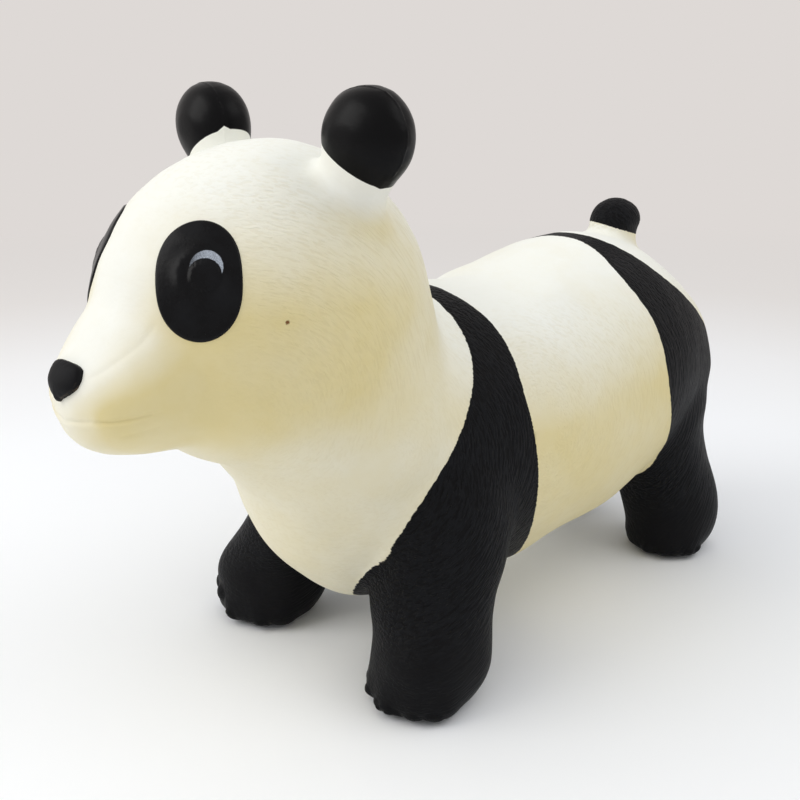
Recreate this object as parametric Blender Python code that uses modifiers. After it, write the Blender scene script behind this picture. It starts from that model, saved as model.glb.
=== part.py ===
"""Inflatable panda hopper: a moulded PVC ride-on animal for a small child.

Metres, +Z up, standing on z = 0, nose towards -Y, its left side towards +X.
One animal skin is blended from overlapping forms, the way the real mould is a single cavity, and is then
parted where the inflated toy flexes: neck, legs, ears and tail. The belly carries the air valve and its plug.
"""
import math

import bmesh
import bpy
from mathutils import Matrix, Vector

# Trunk: a barrel along Y, from rump through haunch, waist and shoulder to chest
RUMP_Y = 0.336
RUMP_Z = 0.180
RUMP_HALF_WIDTH = 0.103
RUMP_HALF_HEIGHT = 0.101
HAUNCH_Z = 0.196
HAUNCH_HALF_WIDTH = 0.125
HAUNCH_HALF_HEIGHT = 0.124
WAIST_Z = 0.173
WAIST_HALF_WIDTH = 0.123
WAIST_HALF_HEIGHT = 0.122
SHOULDER_Z = 0.171
SHOULDER_HALF_WIDTH = 0.118
SHOULDER_HALF_HEIGHT = 0.129
CHEST_Y = -0.188
CHEST_Z = 0.153
CHEST_HALF_WIDTH = 0.092
CHEST_HALF_HEIGHT = 0.118
TRUNK_SQUARENESS = 2.05
TRUNK_END_ROUNDNESS = 2.8
TRUNK_STATION_SHARES = (0.0, 0.25, 0.5, 0.75, 1.0)

# Neck and head
NECK_Y = -0.129
NECK_Z = 0.235
NECK_HALF_WIDTH = 0.102
NECK_HALF_DEPTH = 0.098
HEAD_Y = -0.176
HEAD_Z = 0.301
HEAD_HALF_WIDTH = 0.109
HEAD_HALF_LENGTH = 0.125
HEAD_HALF_HEIGHT = 0.116
MUZZLE_TIP_Y = -0.337
MUZZLE_TIP_Z = 0.270
MUZZLE_TIP_HALF_WIDTH = 0.044
MUZZLE_TIP_HALF_HEIGHT = 0.034
SNOUT_HALF_WIDTH = 0.067
SNOUT_HALF_HEIGHT = 0.061
NECK_FOOT_SHARE = 0.6
NECK_TOP_SHARE = 0.25
NECK_END_ROUNDNESS = 4.0
# Way from skull to tip, sag below that line, and how far from the tip's size to the snout's
SNOUT_STATION_SHARES = ((0.05, 0.0, 1.4), (0.50, 0.12, 1.0), (0.80, 0.17, 0.5), (1.0, 0.0, 0.0))
SNOUT_END_ROUNDNESS = 2.6

# Legs: sole centres on the ground, thigh centres where the leg leaves the trunk
FRONT_FOOT_X = 0.096
FRONT_FOOT_Y = -0.107
FRONT_FOOT_HALF_WIDTH = 0.046
FRONT_FOOT_HALF_LENGTH = 0.048
FRONT_THIGH_X = 0.066
FRONT_THIGH_Y = -0.061
FRONT_THIGH_RADIUS = 0.060
REAR_FOOT_X = 0.076
REAR_FOOT_Y = 0.262
REAR_FOOT_HALF_WIDTH = 0.041
REAR_FOOT_HALF_LENGTH = 0.046
REAR_THIGH_X = 0.052
REAR_THIGH_Y = 0.238
REAR_THIGH_RADIUS = 0.061
THIGH_Z = 0.150
TOE_RADIUS = 0.0125
TOE_COUNT = 5
TOE_SPREAD_DEG = 128.0
# Height, way from foot to thigh, swell from foot to thigh size, and local size
LEG_STATION_SHARES = (
    (-0.10, 0.0, 0.0, 0.32),
    (0.02, 0.0, 0.0, 0.76),
    (0.16, 0.0, 0.0, 0.99),
    (0.36, 0.12, 0.0, 0.97),
    (0.62, 0.45, 0.4, 0.91),
    (0.95, 1.0, 1.0, 0.95),
    (1.30, 1.6, 1.0, 0.82),
    (1.55, 2.1, 1.0, 0.55),
)
TOE_SINK_SHARE = 0.62
TOE_RISE_SHARE = 0.95

# Ears and tail, each a lobe on a stub
EAR_X = 0.0865
EAR_Y = -0.152
EAR_Z = 0.4215
EAR_HALF_WIDTH = 0.0350
EAR_HALF_DEPTH = 0.0255
EAR_HALF_HEIGHT = 0.0335
EAR_TILT_DEG = 19.0
EAR_STUB_RADIUS = 0.0190
EAR_STUB_LENGTH = 0.0400
EAR_PIVOT_DROP = 0.0345
TAIL_Y = 0.243
TAIL_Z = 0.3205
TAIL_RADIUS = 0.0245
TAIL_HALF_HEIGHT = 0.0225
TAIL_STUB_RADIUS = 0.0200
TAIL_STUB_LENGTH = 0.034
TAIL_PIVOT_DROP = 0.0150
# Way from the lobe's middle to the stub's foot, how much of the lobe's size is left, and flare
STUB_STATION_SHARES = (
    (0.05, 0.92, 1.0),
    (0.40, 0.66, 1.0),
    (0.75, 0.18, 1.0),
    (1.00, 0.0, 1.0),
    (1.25, 0.0, 1.2),
    (1.60, 0.0, 1.7),
)

# Face
NOSE_HALF_WIDTH = 0.0205
NOSE_HALF_HEIGHT = 0.0155
NOSE_DEPTH = 0.016
NOSE_SET_BACK_SHARE = 0.25
NOSE_LIFT_SHARE = 0.70
EYE_PATCH_HALF_WIDTH = 0.0285
EYE_PATCH_HALF_HEIGHT = 0.0385
EYE_PATCH_DEPTH = 0.012
EYE_SIDE_DEG = 31.5
EYE_RISE_DEG = 19.5
EYE_LEAN_DEG = 8.0
PUPIL_RADIUS = 0.0095
PUPIL_PROUD = 0.0014
PUPIL_LIFT_SHARE = 0.1

# Parting lines of the flexing sections
NAPE_Y = -0.062
NAPE_Z = 0.300
THROAT_Y = -0.212
THROAT_Z = 0.165
LEG_JOINT_Z = 0.088
LEG_JOINT_TILT_DEG = 38.0
EAR_SOCKET_RADIUS = 0.0320
EAR_SOCKET_WRAP_DEG = 112.0
TAIL_SOCKET_RADIUS = 0.0300
TAIL_SOCKET_WRAP_DEG = 112.0
PARTING_GAP = 0.0003
SOCKET_GAP = 0.0007
LEG_ZONE_REACH_SHARE = 1.85
LEG_ZONE_INNER_SHARE = 1.3
LOBE_ZONE_REACH_SHARE = 1.3
EYE_ZONE_PROUD_SHARE = 1.6

# Air valve in the belly, between the legs
VALVE_Y = 0.084
VALVE_BORE_RADIUS = 0.0055
VALVE_TAPER = 0.0006
COLLAR_RADIUS = 0.0105
COLLAR_FLANGE_RADIUS = 0.0150
COLLAR_FLANGE_THICKNESS = 0.0022
COLLAR_FLANGE_SINK = 0.0018
COLLAR_DEPTH = 0.0180
PLUG_HEAD_RADIUS = 0.0090
PLUG_HEAD_THICKNESS = 0.0026
PLUG_SHANK_LENGTH = 0.0140
PLUG_RING_RADIUS = 0.0007
PLUG_TAB_THICKNESS = 0.0022
PLUG_TAB_LENGTH = 0.0075
PLUG_NOSE_SHARE = 0.55
PLUG_RING_SHARES = (0.78, 0.54, 0.30)
PLUG_HEAD_EDGE_SHARE = 0.35
PLUG_TAB_WIDTH_SHARE = 0.7

# Mesh fineness
RING_SIDES = 40
TRUNK_RINGS = 30
NECK_RINGS = 16
SNOUT_RINGS = 18
LEG_RINGS = 22
SKIN_VOXEL = 0.0060
SKIN_SMOOTH_STEPS = 9
SKIN_KEEP_SHARE = 0.105
ROUND_SIDES = 32
EYE_SIDES = 32
PUPIL_SIDES = 16
SOCKET_STEPS = 9
SOCKET_SIDES = 24
VALVE_SIDES = 24
END_RING_SHARE = 0.02

# How far a cutter runs past what it cuts
OVERRUN = 0.05

MODEL_NAME = "panda_hopper"


def clear_scene():
    """Empties the file that the script runs in."""
    for old in list(bpy.data.objects):
        bpy.data.objects.remove(old, do_unlink=True)


def new_collection(name):
    """A collection under the scene, made afresh."""
    made = bpy.data.collections.new(name)
    bpy.context.scene.collection.children.link(made)
    return made


def plastic(name, colour, roughness):
    """A Principled material of moulded PVC."""
    made = bpy.data.materials.new(name)
    made.use_nodes = True
    shader = made.node_tree.nodes["Principled BSDF"]
    shader.inputs["Base Color"].default_value = (*colour, 1.0)
    shader.inputs["Roughness"].default_value = roughness
    shader.inputs["Metallic"].default_value = 0.0
    made.diffuse_color = (*colour, 1.0)
    return made


def add_object(name, bm, collection, *materials):
    """Turns a bmesh into an object with its materials."""
    bmesh.ops.recalc_face_normals(bm, faces=bm.faces)
    mesh = bpy.data.meshes.new(name)
    bm.to_mesh(mesh)
    bm.free()
    for material in materials:
        mesh.materials.append(material)
    made = bpy.data.objects.new(name, mesh)
    collection.objects.link(made)
    return made


def as_guide(made):
    """Marks a cutter, or a form that other pieces are made from."""
    made.hide_render = True
    made.display_type = "WIRE"
    return made


def boolean(target, cutter, operation):
    """Cuts or joins with the exact solver."""
    modifier = target.modifiers.new(f"{operation.lower()} {cutter.name}", "BOOLEAN")
    modifier.operation = operation
    modifier.solver = "EXACT"
    modifier.object = cutter


# Lofting

def curve_through(stations, share):
    """A point on the smooth curve through the stations, from the first at share 0 to the last at share 1."""
    spans = len(stations) - 1
    place = min(share * spans, spans - 1e-9)
    first = int(place)
    f = place - first

    def station(index):
        if index < 0:
            return [2 * a - b for a, b in zip(stations[0], stations[1])]
        if index > spans:
            return [2 * a - b for a, b in zip(stations[-1], stations[-2])]
        return stations[index]

    before, start, end, after = (station(first + step) for step in (-1, 0, 1, 2))
    return [
        0.5 * (2 * b + (c - a) * f + (2 * a - 5 * b + 4 * c - d) * f * f + (3 * b - a - 3 * c + d) * f ** 3)
        for a, b, c, d in zip(before, start, end, after)
    ]


def ring_points(centre, along, half_width, half_depth, squareness=2.0, sides=None):
    """A superellipse square to a direction, its width lying level."""
    direction = along.normalized()
    wide = (Vector((1.0, 0.0, 0.0)) - direction * direction.x).normalized()
    deep = direction.cross(wide)
    count = sides or RING_SIDES
    points = []
    for step in range(count):
        angle = 2 * math.pi * step / count
        c, s = math.cos(angle), math.sin(angle)
        across = math.copysign(abs(c) ** (2 / squareness), c) * half_width
        up = math.copysign(abs(s) ** (2 / squareness), s) * half_depth
        points.append(centre + wide * across + deep * up)
    return points


def add_loft(bm, rings):
    """Skins rings of equal counts and caps both ends."""
    rows = [[bm.verts.new(point) for point in ring] for ring in rings]
    for lower, upper in zip(rows, rows[1:]):
        for step in range(len(lower)):
            after = (step + 1) % len(lower)
            bm.faces.new((lower[step], lower[after], upper[after], upper[step]))
    bm.faces.new(reversed(rows[0]))
    bm.faces.new(rows[-1])


def add_tube_form(bm, stations, rings, squareness=2.0, end_roundness=None):
    """Lofts along a spine. A station is x, y, z, half width, half depth.

    With end_roundness the ends close in a superellipse, and without it they stay cut square.
    """
    shares = [0.5 - 0.5 * math.cos(math.pi * step / (rings - 1)) for step in range(rings)]
    rows = [curve_through(stations, share) for share in shares]
    spine = [Vector(row[:3]) for row in rows]
    made = []
    for index, (share, row) in enumerate(zip(shares, rows)):
        along = spine[min(index + 1, rings - 1)] - spine[max(index - 1, 0)]
        size = 1.0
        if end_roundness:
            reach = abs(2 * share - 1)
            size = max((1 - reach ** end_roundness) ** (1 / end_roundness), END_RING_SHARE)
        made.append(ring_points(spine[index], along, row[3] * size, row[4] * size, squareness))
    add_loft(bm, made)


def add_egg(bm, centre, half_width, half_length, half_height, tilt_deg=0.0):
    """An ellipsoid, leaning sideways by tilt_deg about Y."""
    matrix = (
        Matrix.Translation(centre)
        @ Matrix.Rotation(math.radians(tilt_deg), 4, "Y")
        @ Matrix.Diagonal((half_width, half_length, half_height, 1.0))
    )
    add_ball(bm, ROUND_SIDES, matrix)


def add_ball(bm, sides, matrix):
    """A unit ball put in place by the matrix."""
    bmesh.ops.create_uvsphere(bm, u_segments=sides, v_segments=sides // 2, radius=1.0, matrix=matrix)


# Forms of the animal, which overlap and are blended into one skin

def add_trunk(bm):
    """The barrel that the child sits on."""
    length = RUMP_Y - CHEST_Y
    stations = [
        (0.0, RUMP_Y - length * share, z, half_width, half_height)
        for share, (z, half_width, half_height) in zip(TRUNK_STATION_SHARES, trunk_sizes())
    ]
    add_tube_form(bm, stations, TRUNK_RINGS, TRUNK_SQUARENESS, TRUNK_END_ROUNDNESS)


def trunk_sizes():
    """Centre height, half width and half height at each station of the trunk."""
    return (
        (RUMP_Z, RUMP_HALF_WIDTH, RUMP_HALF_HEIGHT),
        (HAUNCH_Z, HAUNCH_HALF_WIDTH, HAUNCH_HALF_HEIGHT),
        (WAIST_Z, WAIST_HALF_WIDTH, WAIST_HALF_HEIGHT),
        (SHOULDER_Z, SHOULDER_HALF_WIDTH, SHOULDER_HALF_HEIGHT),
        (CHEST_Z, CHEST_HALF_WIDTH, CHEST_HALF_HEIGHT),
    )


def add_neck(bm):
    """The broad throat between chest and head."""
    stations = [
        (0.0, NECK_Y + NECK_HALF_DEPTH * NECK_FOOT_SHARE, SHOULDER_Z, NECK_HALF_WIDTH, NECK_HALF_DEPTH),
        (0.0, NECK_Y, NECK_Z, NECK_HALF_WIDTH, NECK_HALF_DEPTH),
        (0.0, HEAD_Y, HEAD_Z + HEAD_HALF_HEIGHT * NECK_TOP_SHARE, HEAD_HALF_WIDTH, HEAD_HALF_LENGTH),
    ]
    add_tube_form(bm, stations, NECK_RINGS, 2.0, NECK_END_ROUNDNESS)


def add_head(bm):
    """Skull and snout."""
    skull = Vector((0.0, HEAD_Y, HEAD_Z))
    tip = Vector((0.0, MUZZLE_TIP_Y, MUZZLE_TIP_Z))
    add_egg(bm, skull, HEAD_HALF_WIDTH, HEAD_HALF_LENGTH, HEAD_HALF_HEIGHT)
    stations = []
    for reach, sag, snout in SNOUT_STATION_SHARES:
        place = skull.lerp(tip, reach)
        width = MUZZLE_TIP_HALF_WIDTH + (SNOUT_HALF_WIDTH - MUZZLE_TIP_HALF_WIDTH) * snout
        height = MUZZLE_TIP_HALF_HEIGHT + (SNOUT_HALF_HEIGHT - MUZZLE_TIP_HALF_HEIGHT) * snout
        stations.append((0.0, place.y, place.z - SNOUT_HALF_HEIGHT * sag, width, height))
    add_tube_form(bm, stations, SNOUT_RINGS, 2.0, SNOUT_END_ROUNDNESS)


def add_leg(bm, side, foot_x, foot_y, foot_width, foot_length, thigh_x, thigh_y, thigh_radius):
    """A stout leg that swells into the trunk, on a bulbous foot with toes."""
    stations = []
    for rise, lean, swell, size in LEG_STATION_SHARES:
        stations.append((
            side * (foot_x + (thigh_x - foot_x) * lean),
            foot_y + (thigh_y - foot_y) * lean,
            THIGH_Z * rise,
            (foot_width + (thigh_radius - foot_width) * swell) * size,
            (foot_length + (thigh_radius - foot_length) * swell) * size,
        ))
    add_tube_form(bm, stations, LEG_RINGS, 2.0)
    for toe in range(TOE_COUNT):
        turn = math.radians(TOE_SPREAD_DEG) * (toe / (TOE_COUNT - 1) - 0.5)
        across = math.sin(turn) * (foot_width - TOE_RADIUS * TOE_SINK_SHARE)
        ahead = math.cos(turn) * (foot_length - TOE_RADIUS * TOE_SINK_SHARE)
        centre = Vector((side * foot_x + across, foot_y - ahead, TOE_RADIUS * TOE_RISE_SHARE))
        add_egg(bm, centre, TOE_RADIUS, TOE_RADIUS, TOE_RADIUS)


def ear_axis(side):
    """Direction from head to ear tip."""
    tilt = math.radians(EAR_TILT_DEG) * side
    return Vector((math.sin(tilt), 0.0, math.cos(tilt)))


def ear_centre(side):
    """Middle of the black lobe."""
    return Vector((side * EAR_X, EAR_Y, EAR_Z))


def add_ear(bm, side):
    """A rounded lobe, flatter front to back, drawn in to a stub that flares into the head."""
    up = ear_axis(side)
    centre = ear_centre(side)
    add_egg(bm, centre, EAR_HALF_WIDTH, EAR_HALF_DEPTH, EAR_HALF_HEIGHT, side * EAR_TILT_DEG)
    add_stub(bm, centre, up, EAR_HALF_WIDTH, EAR_HALF_DEPTH, EAR_STUB_RADIUS, EAR_STUB_LENGTH)


def add_stub(bm, centre, up, lobe_width, lobe_depth, radius, length):
    """A neck from a lobe's middle down into the body, drawn in and then flaring at its foot."""
    rings = []
    for reach, lobe, flare in STUB_STATION_SHARES:
        half_width = (radius + (lobe_width - radius) * lobe) * flare
        half_depth = (radius + (lobe_depth - radius) * lobe) * flare
        rings.append(ring_points(centre - up * (length * reach), up, half_width, half_depth))
    add_loft(bm, rings)


def add_tail(bm):
    """A small ball on a stub over the rump."""
    centre = Vector((0.0, TAIL_Y, TAIL_Z))
    add_egg(bm, centre, TAIL_RADIUS, TAIL_RADIUS, TAIL_HALF_HEIGHT)
    up = Vector((0.0, 0.0, 1.0))
    add_stub(bm, centre, up, TAIL_RADIUS, TAIL_RADIUS, TAIL_STUB_RADIUS, TAIL_STUB_LENGTH)


def make_skin(guides):
    """Blends every form into one moulded skin and returns its mesh."""
    bm = bmesh.new()
    add_trunk(bm)
    add_neck(bm)
    add_head(bm)
    for side in (1, -1):
        add_leg(bm, side, FRONT_FOOT_X, FRONT_FOOT_Y, FRONT_FOOT_HALF_WIDTH, FRONT_FOOT_HALF_LENGTH,
                FRONT_THIGH_X, FRONT_THIGH_Y, FRONT_THIGH_RADIUS)
        add_leg(bm, side, REAR_FOOT_X, REAR_FOOT_Y, REAR_FOOT_HALF_WIDTH, REAR_FOOT_HALF_LENGTH,
                REAR_THIGH_X, REAR_THIGH_Y, REAR_THIGH_RADIUS)
        add_ear(bm, side)
    add_tail(bm)
    form = as_guide(add_object("blended_forms", bm, guides))
    remesh = form.modifiers.new("blend", "REMESH")
    remesh.mode = "VOXEL"
    remesh.voxel_size = SKIN_VOXEL
    soften = form.modifiers.new("soften", "SMOOTH")
    soften.factor = 0.5
    soften.iterations = SKIN_SMOOTH_STEPS
    thin = form.modifiers.new("thin", "DECIMATE")
    thin.ratio = SKIN_KEEP_SHARE
    mirror = form.modifiers.new("symmetry", "MIRROR")
    mirror.use_bisect_axis[0] = True
    mirror.merge_threshold = 0.0001
    graph = bpy.context.evaluated_depsgraph_get()
    skin = bpy.data.meshes.new_from_object(form.evaluated_get(graph))
    skin.name = "animal_skin"
    return skin


# Parting cutters: each zone takes one section out of the skin

def box_zone(name, guides, low, high, place):
    """A box from corner to corner in the frame that place gives."""
    size = Vector(high) - Vector(low)
    middle = (Vector(high) + Vector(low)) / 2
    matrix = place @ Matrix.Translation(middle) @ Matrix.Diagonal((*size, 1.0))
    bm = bmesh.new()
    bmesh.ops.create_cube(bm, size=1.0, matrix=matrix)
    return as_guide(add_object(name, bm, guides))


def head_zone(name, guides, grow):
    """Everything ahead of the slanting neck plane from nape to throat."""
    nape = Vector((0.0, NAPE_Y, NAPE_Z))
    throat = Vector((0.0, THROAT_Y, THROAT_Z))
    slope = math.atan2(NAPE_Z - THROAT_Z, NAPE_Y - THROAT_Y)
    place = Matrix.Translation(nape.lerp(throat, 0.5)) @ Matrix.Rotation(slope, 4, "X")
    reach = HEAD_HALF_LENGTH * 4
    return box_zone(name, guides, (-reach, -reach, -grow), (reach, reach, reach), place)


def leg_zone(name, guides, side, foot_x, foot_y, foot_length, lift):
    """Everything under the tilted crotch plane, around one foot and down to the flat sole."""
    turn = Matrix.Rotation(-side * math.radians(LEG_JOINT_TILT_DEG), 4, "Y")
    place = Matrix.Translation((side * foot_x, foot_y, LEG_JOINT_Z)) @ turn
    reach = foot_length * LEG_ZONE_REACH_SHARE
    low = (-foot_x * LEG_ZONE_INNER_SHARE, -reach, -LEG_JOINT_Z - foot_x)
    high = (foot_x + OVERRUN, reach, lift)
    return box_zone(name, guides, low, high, place)


def socket_zone(name, guides, pivot, up, radius, wrap_deg, reach, grow):
    """A ball round a stub's pivot, opening upward into a wide cone that holds the lobe."""
    wrap = math.radians(wrap_deg)
    ball = radius + grow
    profile = [(-ball, ball * END_RING_SHARE)]
    for step in range(1, SOCKET_STEPS + 1):
        angle = wrap * step / SOCKET_STEPS
        profile.append((-ball * math.cos(angle), ball * math.sin(angle)))
    far = reach / -math.cos(wrap)
    mouth = far * math.sin(wrap) - grow * math.cos(wrap)
    profile.append((reach - grow * math.sin(wrap), mouth))
    profile.append((reach + grow, mouth))
    rings = [
        ring_points(pivot + up * height, up, wide, wide, sides=SOCKET_SIDES)
        for height, wide in profile
    ]
    bm = bmesh.new()
    add_loft(bm, rings)
    return as_guide(add_object(name, bm, guides))


def section(name, skin, zone, collection, material, origin=(0.0, 0.0, 0.0)):
    """A copy of the whole skin, cut down to what lies in its zone, its origin on the section's joint."""
    mesh = skin.copy()
    mesh.name = name
    mesh.materials.append(material)
    mesh.transform(Matrix.Translation(origin).inverted())
    made = bpy.data.objects.new(name, mesh)
    made.location = origin
    collection.objects.link(made)
    if zone:
        boolean(made, zone, "INTERSECT")
    return made


# Face: the nose cap and the eye patches are parted from the head so that each is its own piece

def nose_zone(name, guides, grow):
    """An egg over the upper tip of the muzzle."""
    centre = Vector((
        0.0,
        MUZZLE_TIP_Y + NOSE_DEPTH * NOSE_SET_BACK_SHARE,
        MUZZLE_TIP_Z + NOSE_HALF_HEIGHT * NOSE_LIFT_SHARE,
    ))
    bm = bmesh.new()
    add_egg(bm, centre, NOSE_HALF_WIDTH + grow, NOSE_DEPTH + grow, NOSE_HALF_HEIGHT + grow)
    return as_guide(add_object(name, bm, guides))


def eye_place(side):
    """Frame on the skull's surface: Z out of the head, Y along the patch's long axis."""
    turn = math.radians(EYE_SIDE_DEG) * side
    rise = math.radians(EYE_RISE_DEG)
    toward = Vector((math.sin(turn) * math.cos(rise), -math.cos(turn) * math.cos(rise), math.sin(rise)))
    radii = Vector((HEAD_HALF_WIDTH, HEAD_HALF_LENGTH, HEAD_HALF_HEIGHT))
    reach = 1 / math.sqrt(sum((toward[axis] / radii[axis]) ** 2 for axis in range(3)))
    point = Vector((0.0, HEAD_Y, HEAD_Z)) + toward * reach
    out = Vector([toward[axis] / radii[axis] ** 2 for axis in range(3)]).normalized()
    lean = Matrix.Rotation(math.radians(EYE_LEAN_DEG) * side, 4, out)
    level = Vector((0.0, 0.0, 1.0)).cross(out).normalized()
    long_axis = lean @ out.cross(level)
    frame = Matrix((long_axis.cross(out), long_axis, out)).transposed().to_4x4()
    return Matrix.Translation(point) @ frame


def eye_zone(name, guides, side, grow):
    """An upright oval plug through the skin of the cheek."""
    place = eye_place(side)
    bm = bmesh.new()
    rings = []
    for depth in (-EYE_PATCH_DEPTH - grow, EYE_PATCH_DEPTH * EYE_ZONE_PROUD_SHARE):
        ring = []
        for step in range(EYE_SIDES):
            angle = 2 * math.pi * step / EYE_SIDES
            across = (EYE_PATCH_HALF_WIDTH + grow) * math.cos(angle)
            up = (EYE_PATCH_HALF_HEIGHT + grow) * math.sin(angle)
            ring.append(place @ Vector((across, up, depth)))
        rings.append(ring)
    add_loft(bm, rings)
    return as_guide(add_object(name, bm, guides))


def pupil_form(name, guides, side):
    """A low round boss on the patch, above its middle."""
    place = eye_place(side)
    bm = bmesh.new()
    lift = Matrix.Translation((0.0, EYE_PATCH_HALF_HEIGHT * PUPIL_LIFT_SHARE, 0.0))
    matrix = place @ lift @ Matrix.Diagonal((PUPIL_RADIUS, PUPIL_RADIUS, PUPIL_PROUD, 1.0))
    add_ball(bm, PUPIL_SIDES, matrix)
    return as_guide(add_object(name, bm, guides))


# Belly valve, turned pieces on the valve axis

def belly_z():
    """Height of the belly's lowest line at the valve."""
    length = RUMP_Y - CHEST_Y
    share = (RUMP_Y - VALVE_Y) / length
    station = curve_through([(z - half_height,) for z, _, half_height in trunk_sizes()], share)
    return station[0]


def turned(name, profile, collection, *materials):
    """Spins a closed profile of (radius, height) about the valve axis, its outer side given top to bottom."""
    bm = bmesh.new()
    verts = [bm.verts.new((radius, 0.0, height)) for radius, height in profile]
    on_axis = profile[0][0] == 0
    for first, second in zip(verts, verts[1:]):
        bm.edges.new((first, second))
    if not on_axis:
        bm.edges.new((verts[-1], verts[0]))
    mesh = bpy.data.meshes.new(name)
    bm.to_mesh(mesh)
    bm.free()
    for material in materials:
        mesh.materials.append(material)
    made = bpy.data.objects.new(name, mesh)
    collection.objects.link(made)
    made.location = (0.0, VALVE_Y, belly_z())
    screw = made.modifiers.new("turn", "SCREW")
    screw.axis = "Z"
    screw.steps = VALVE_SIDES
    screw.render_steps = VALVE_SIDES
    screw.use_merge_vertices = True
    screw.merge_threshold = 0.0001
    return made


def collar_pocket(name, guides):
    """Where the moulded collar sits in the belly."""
    clear = PARTING_GAP
    top = COLLAR_DEPTH + clear
    low = -COLLAR_FLANGE_THICKNESS - OVERRUN
    profile = [
        (0.0, top),
        (COLLAR_RADIUS + clear, top),
        (COLLAR_RADIUS + clear, COLLAR_FLANGE_SINK + clear),
        (COLLAR_FLANGE_RADIUS + clear, COLLAR_FLANGE_SINK + clear),
        (COLLAR_FLANGE_RADIUS + clear, low),
        (0.0, low),
    ]
    return as_guide(turned(name, profile, guides))


def collar_profile():
    """Sleeve with a flange at the belly and a tapering bore, open both ways."""
    bottom = COLLAR_FLANGE_SINK - COLLAR_FLANGE_THICKNESS
    return [
        (COLLAR_RADIUS, COLLAR_DEPTH),
        (COLLAR_RADIUS, COLLAR_FLANGE_SINK),
        (COLLAR_FLANGE_RADIUS, COLLAR_FLANGE_SINK),
        (COLLAR_FLANGE_RADIUS, bottom),
        (VALVE_BORE_RADIUS + VALVE_TAPER, bottom),
        (VALVE_BORE_RADIUS, COLLAR_DEPTH),
    ]


def plug_profile():
    """Stopper with a flat head under the collar, a tapering shank, three sealing rings and a blunt nose."""
    bottom = COLLAR_FLANGE_SINK - COLLAR_FLANGE_THICKNESS
    head_top = bottom - PARTING_GAP
    head_bottom = head_top - PLUG_HEAD_THICKNESS
    root = VALVE_BORE_RADIUS + VALVE_TAPER - PLUG_RING_RADIUS - PARTING_GAP * 2
    tip = root - VALVE_TAPER
    top = head_top + PLUG_SHANK_LENGTH
    profile = [(0.0, top), (tip * PLUG_NOSE_SHARE, top), (tip, top - tip * (1 - PLUG_NOSE_SHARE))]
    for share in PLUG_RING_SHARES:
        height = head_top + PLUG_SHANK_LENGTH * share
        radius = root + (tip - root) * share
        profile.append((radius, height + PLUG_RING_RADIUS))
        profile.append((radius + PLUG_RING_RADIUS, height))
        profile.append((radius, height - PLUG_RING_RADIUS))
    profile.append((root, head_top))
    profile.append((PLUG_HEAD_RADIUS, head_top))
    profile.append((PLUG_HEAD_RADIUS, head_bottom + PLUG_HEAD_THICKNESS * PLUG_HEAD_EDGE_SHARE))
    profile.append((PLUG_HEAD_RADIUS - PLUG_HEAD_THICKNESS * PLUG_HEAD_EDGE_SHARE, head_bottom))
    profile.append((0.0, head_bottom))
    return profile


def plug_tab(name, guides):
    """The finger tab under the plug's head."""
    head_bottom = COLLAR_FLANGE_SINK - COLLAR_FLANGE_THICKNESS - PARTING_GAP - PLUG_HEAD_THICKNESS
    place = Matrix.Translation((0.0, VALVE_Y, belly_z() + head_bottom))
    half = PLUG_TAB_THICKNESS / 2
    low = (-PLUG_HEAD_RADIUS * PLUG_TAB_WIDTH_SHARE, -half, -PLUG_TAB_LENGTH)
    high = (PLUG_HEAD_RADIUS * PLUG_TAB_WIDTH_SHARE, half, PLUG_HEAD_THICKNESS / 2)
    return box_zone(name, guides, low, high, place)


def add_legs(skin, torso, parts, guides, black):
    """Parts the four legs from the trunk, each with its flat sole."""
    for place, foot_x, foot_y, foot_length in (
        ("front", FRONT_FOOT_X, FRONT_FOOT_Y, FRONT_FOOT_HALF_LENGTH),
        ("rear", REAR_FOOT_X, REAR_FOOT_Y, REAR_FOOT_HALF_LENGTH),
    ):
        for side, hand in ((1, "left"), (-1, "right")):
            name = f"leg_{place}_{hand}"
            zone = leg_zone(f"{name}_zone", guides, side, foot_x, foot_y, foot_length, 0.0)
            clear = leg_zone(f"{name}_clearance", guides, side, foot_x, foot_y, foot_length, PARTING_GAP)
            leg = section(name, skin, zone, parts, black, (side * foot_x, foot_y, LEG_JOINT_Z))
            boolean(leg, ground_zone(guides), "DIFFERENCE")
            boolean(torso, clear, "DIFFERENCE")


def ground_zone(guides):
    """The half space below the floor, which cuts the soles flat."""
    name = "ground_zone"
    if name in bpy.data.objects:
        return bpy.data.objects[name]
    reach = RUMP_Y - MUZZLE_TIP_Y
    return box_zone(name, guides, (-reach, -reach, -reach), (reach, reach, 0.0), Matrix.Identity(4))


def part_lobe(name, skin, host, parts, guides, material, pivot, up, radius, wrap_deg, reach):
    """Parts one lobe from its host at a ball socket round its pivot, so that it bends without a clash."""
    zone = socket_zone(f"{name}_zone", guides, pivot, up, radius, wrap_deg, reach, 0.0)
    clear = socket_zone(f"{name}_clearance", guides, pivot, up, radius, wrap_deg, reach, SOCKET_GAP)
    section(name, skin, zone, parts, material, pivot)
    boolean(host, clear, "DIFFERENCE")


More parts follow.
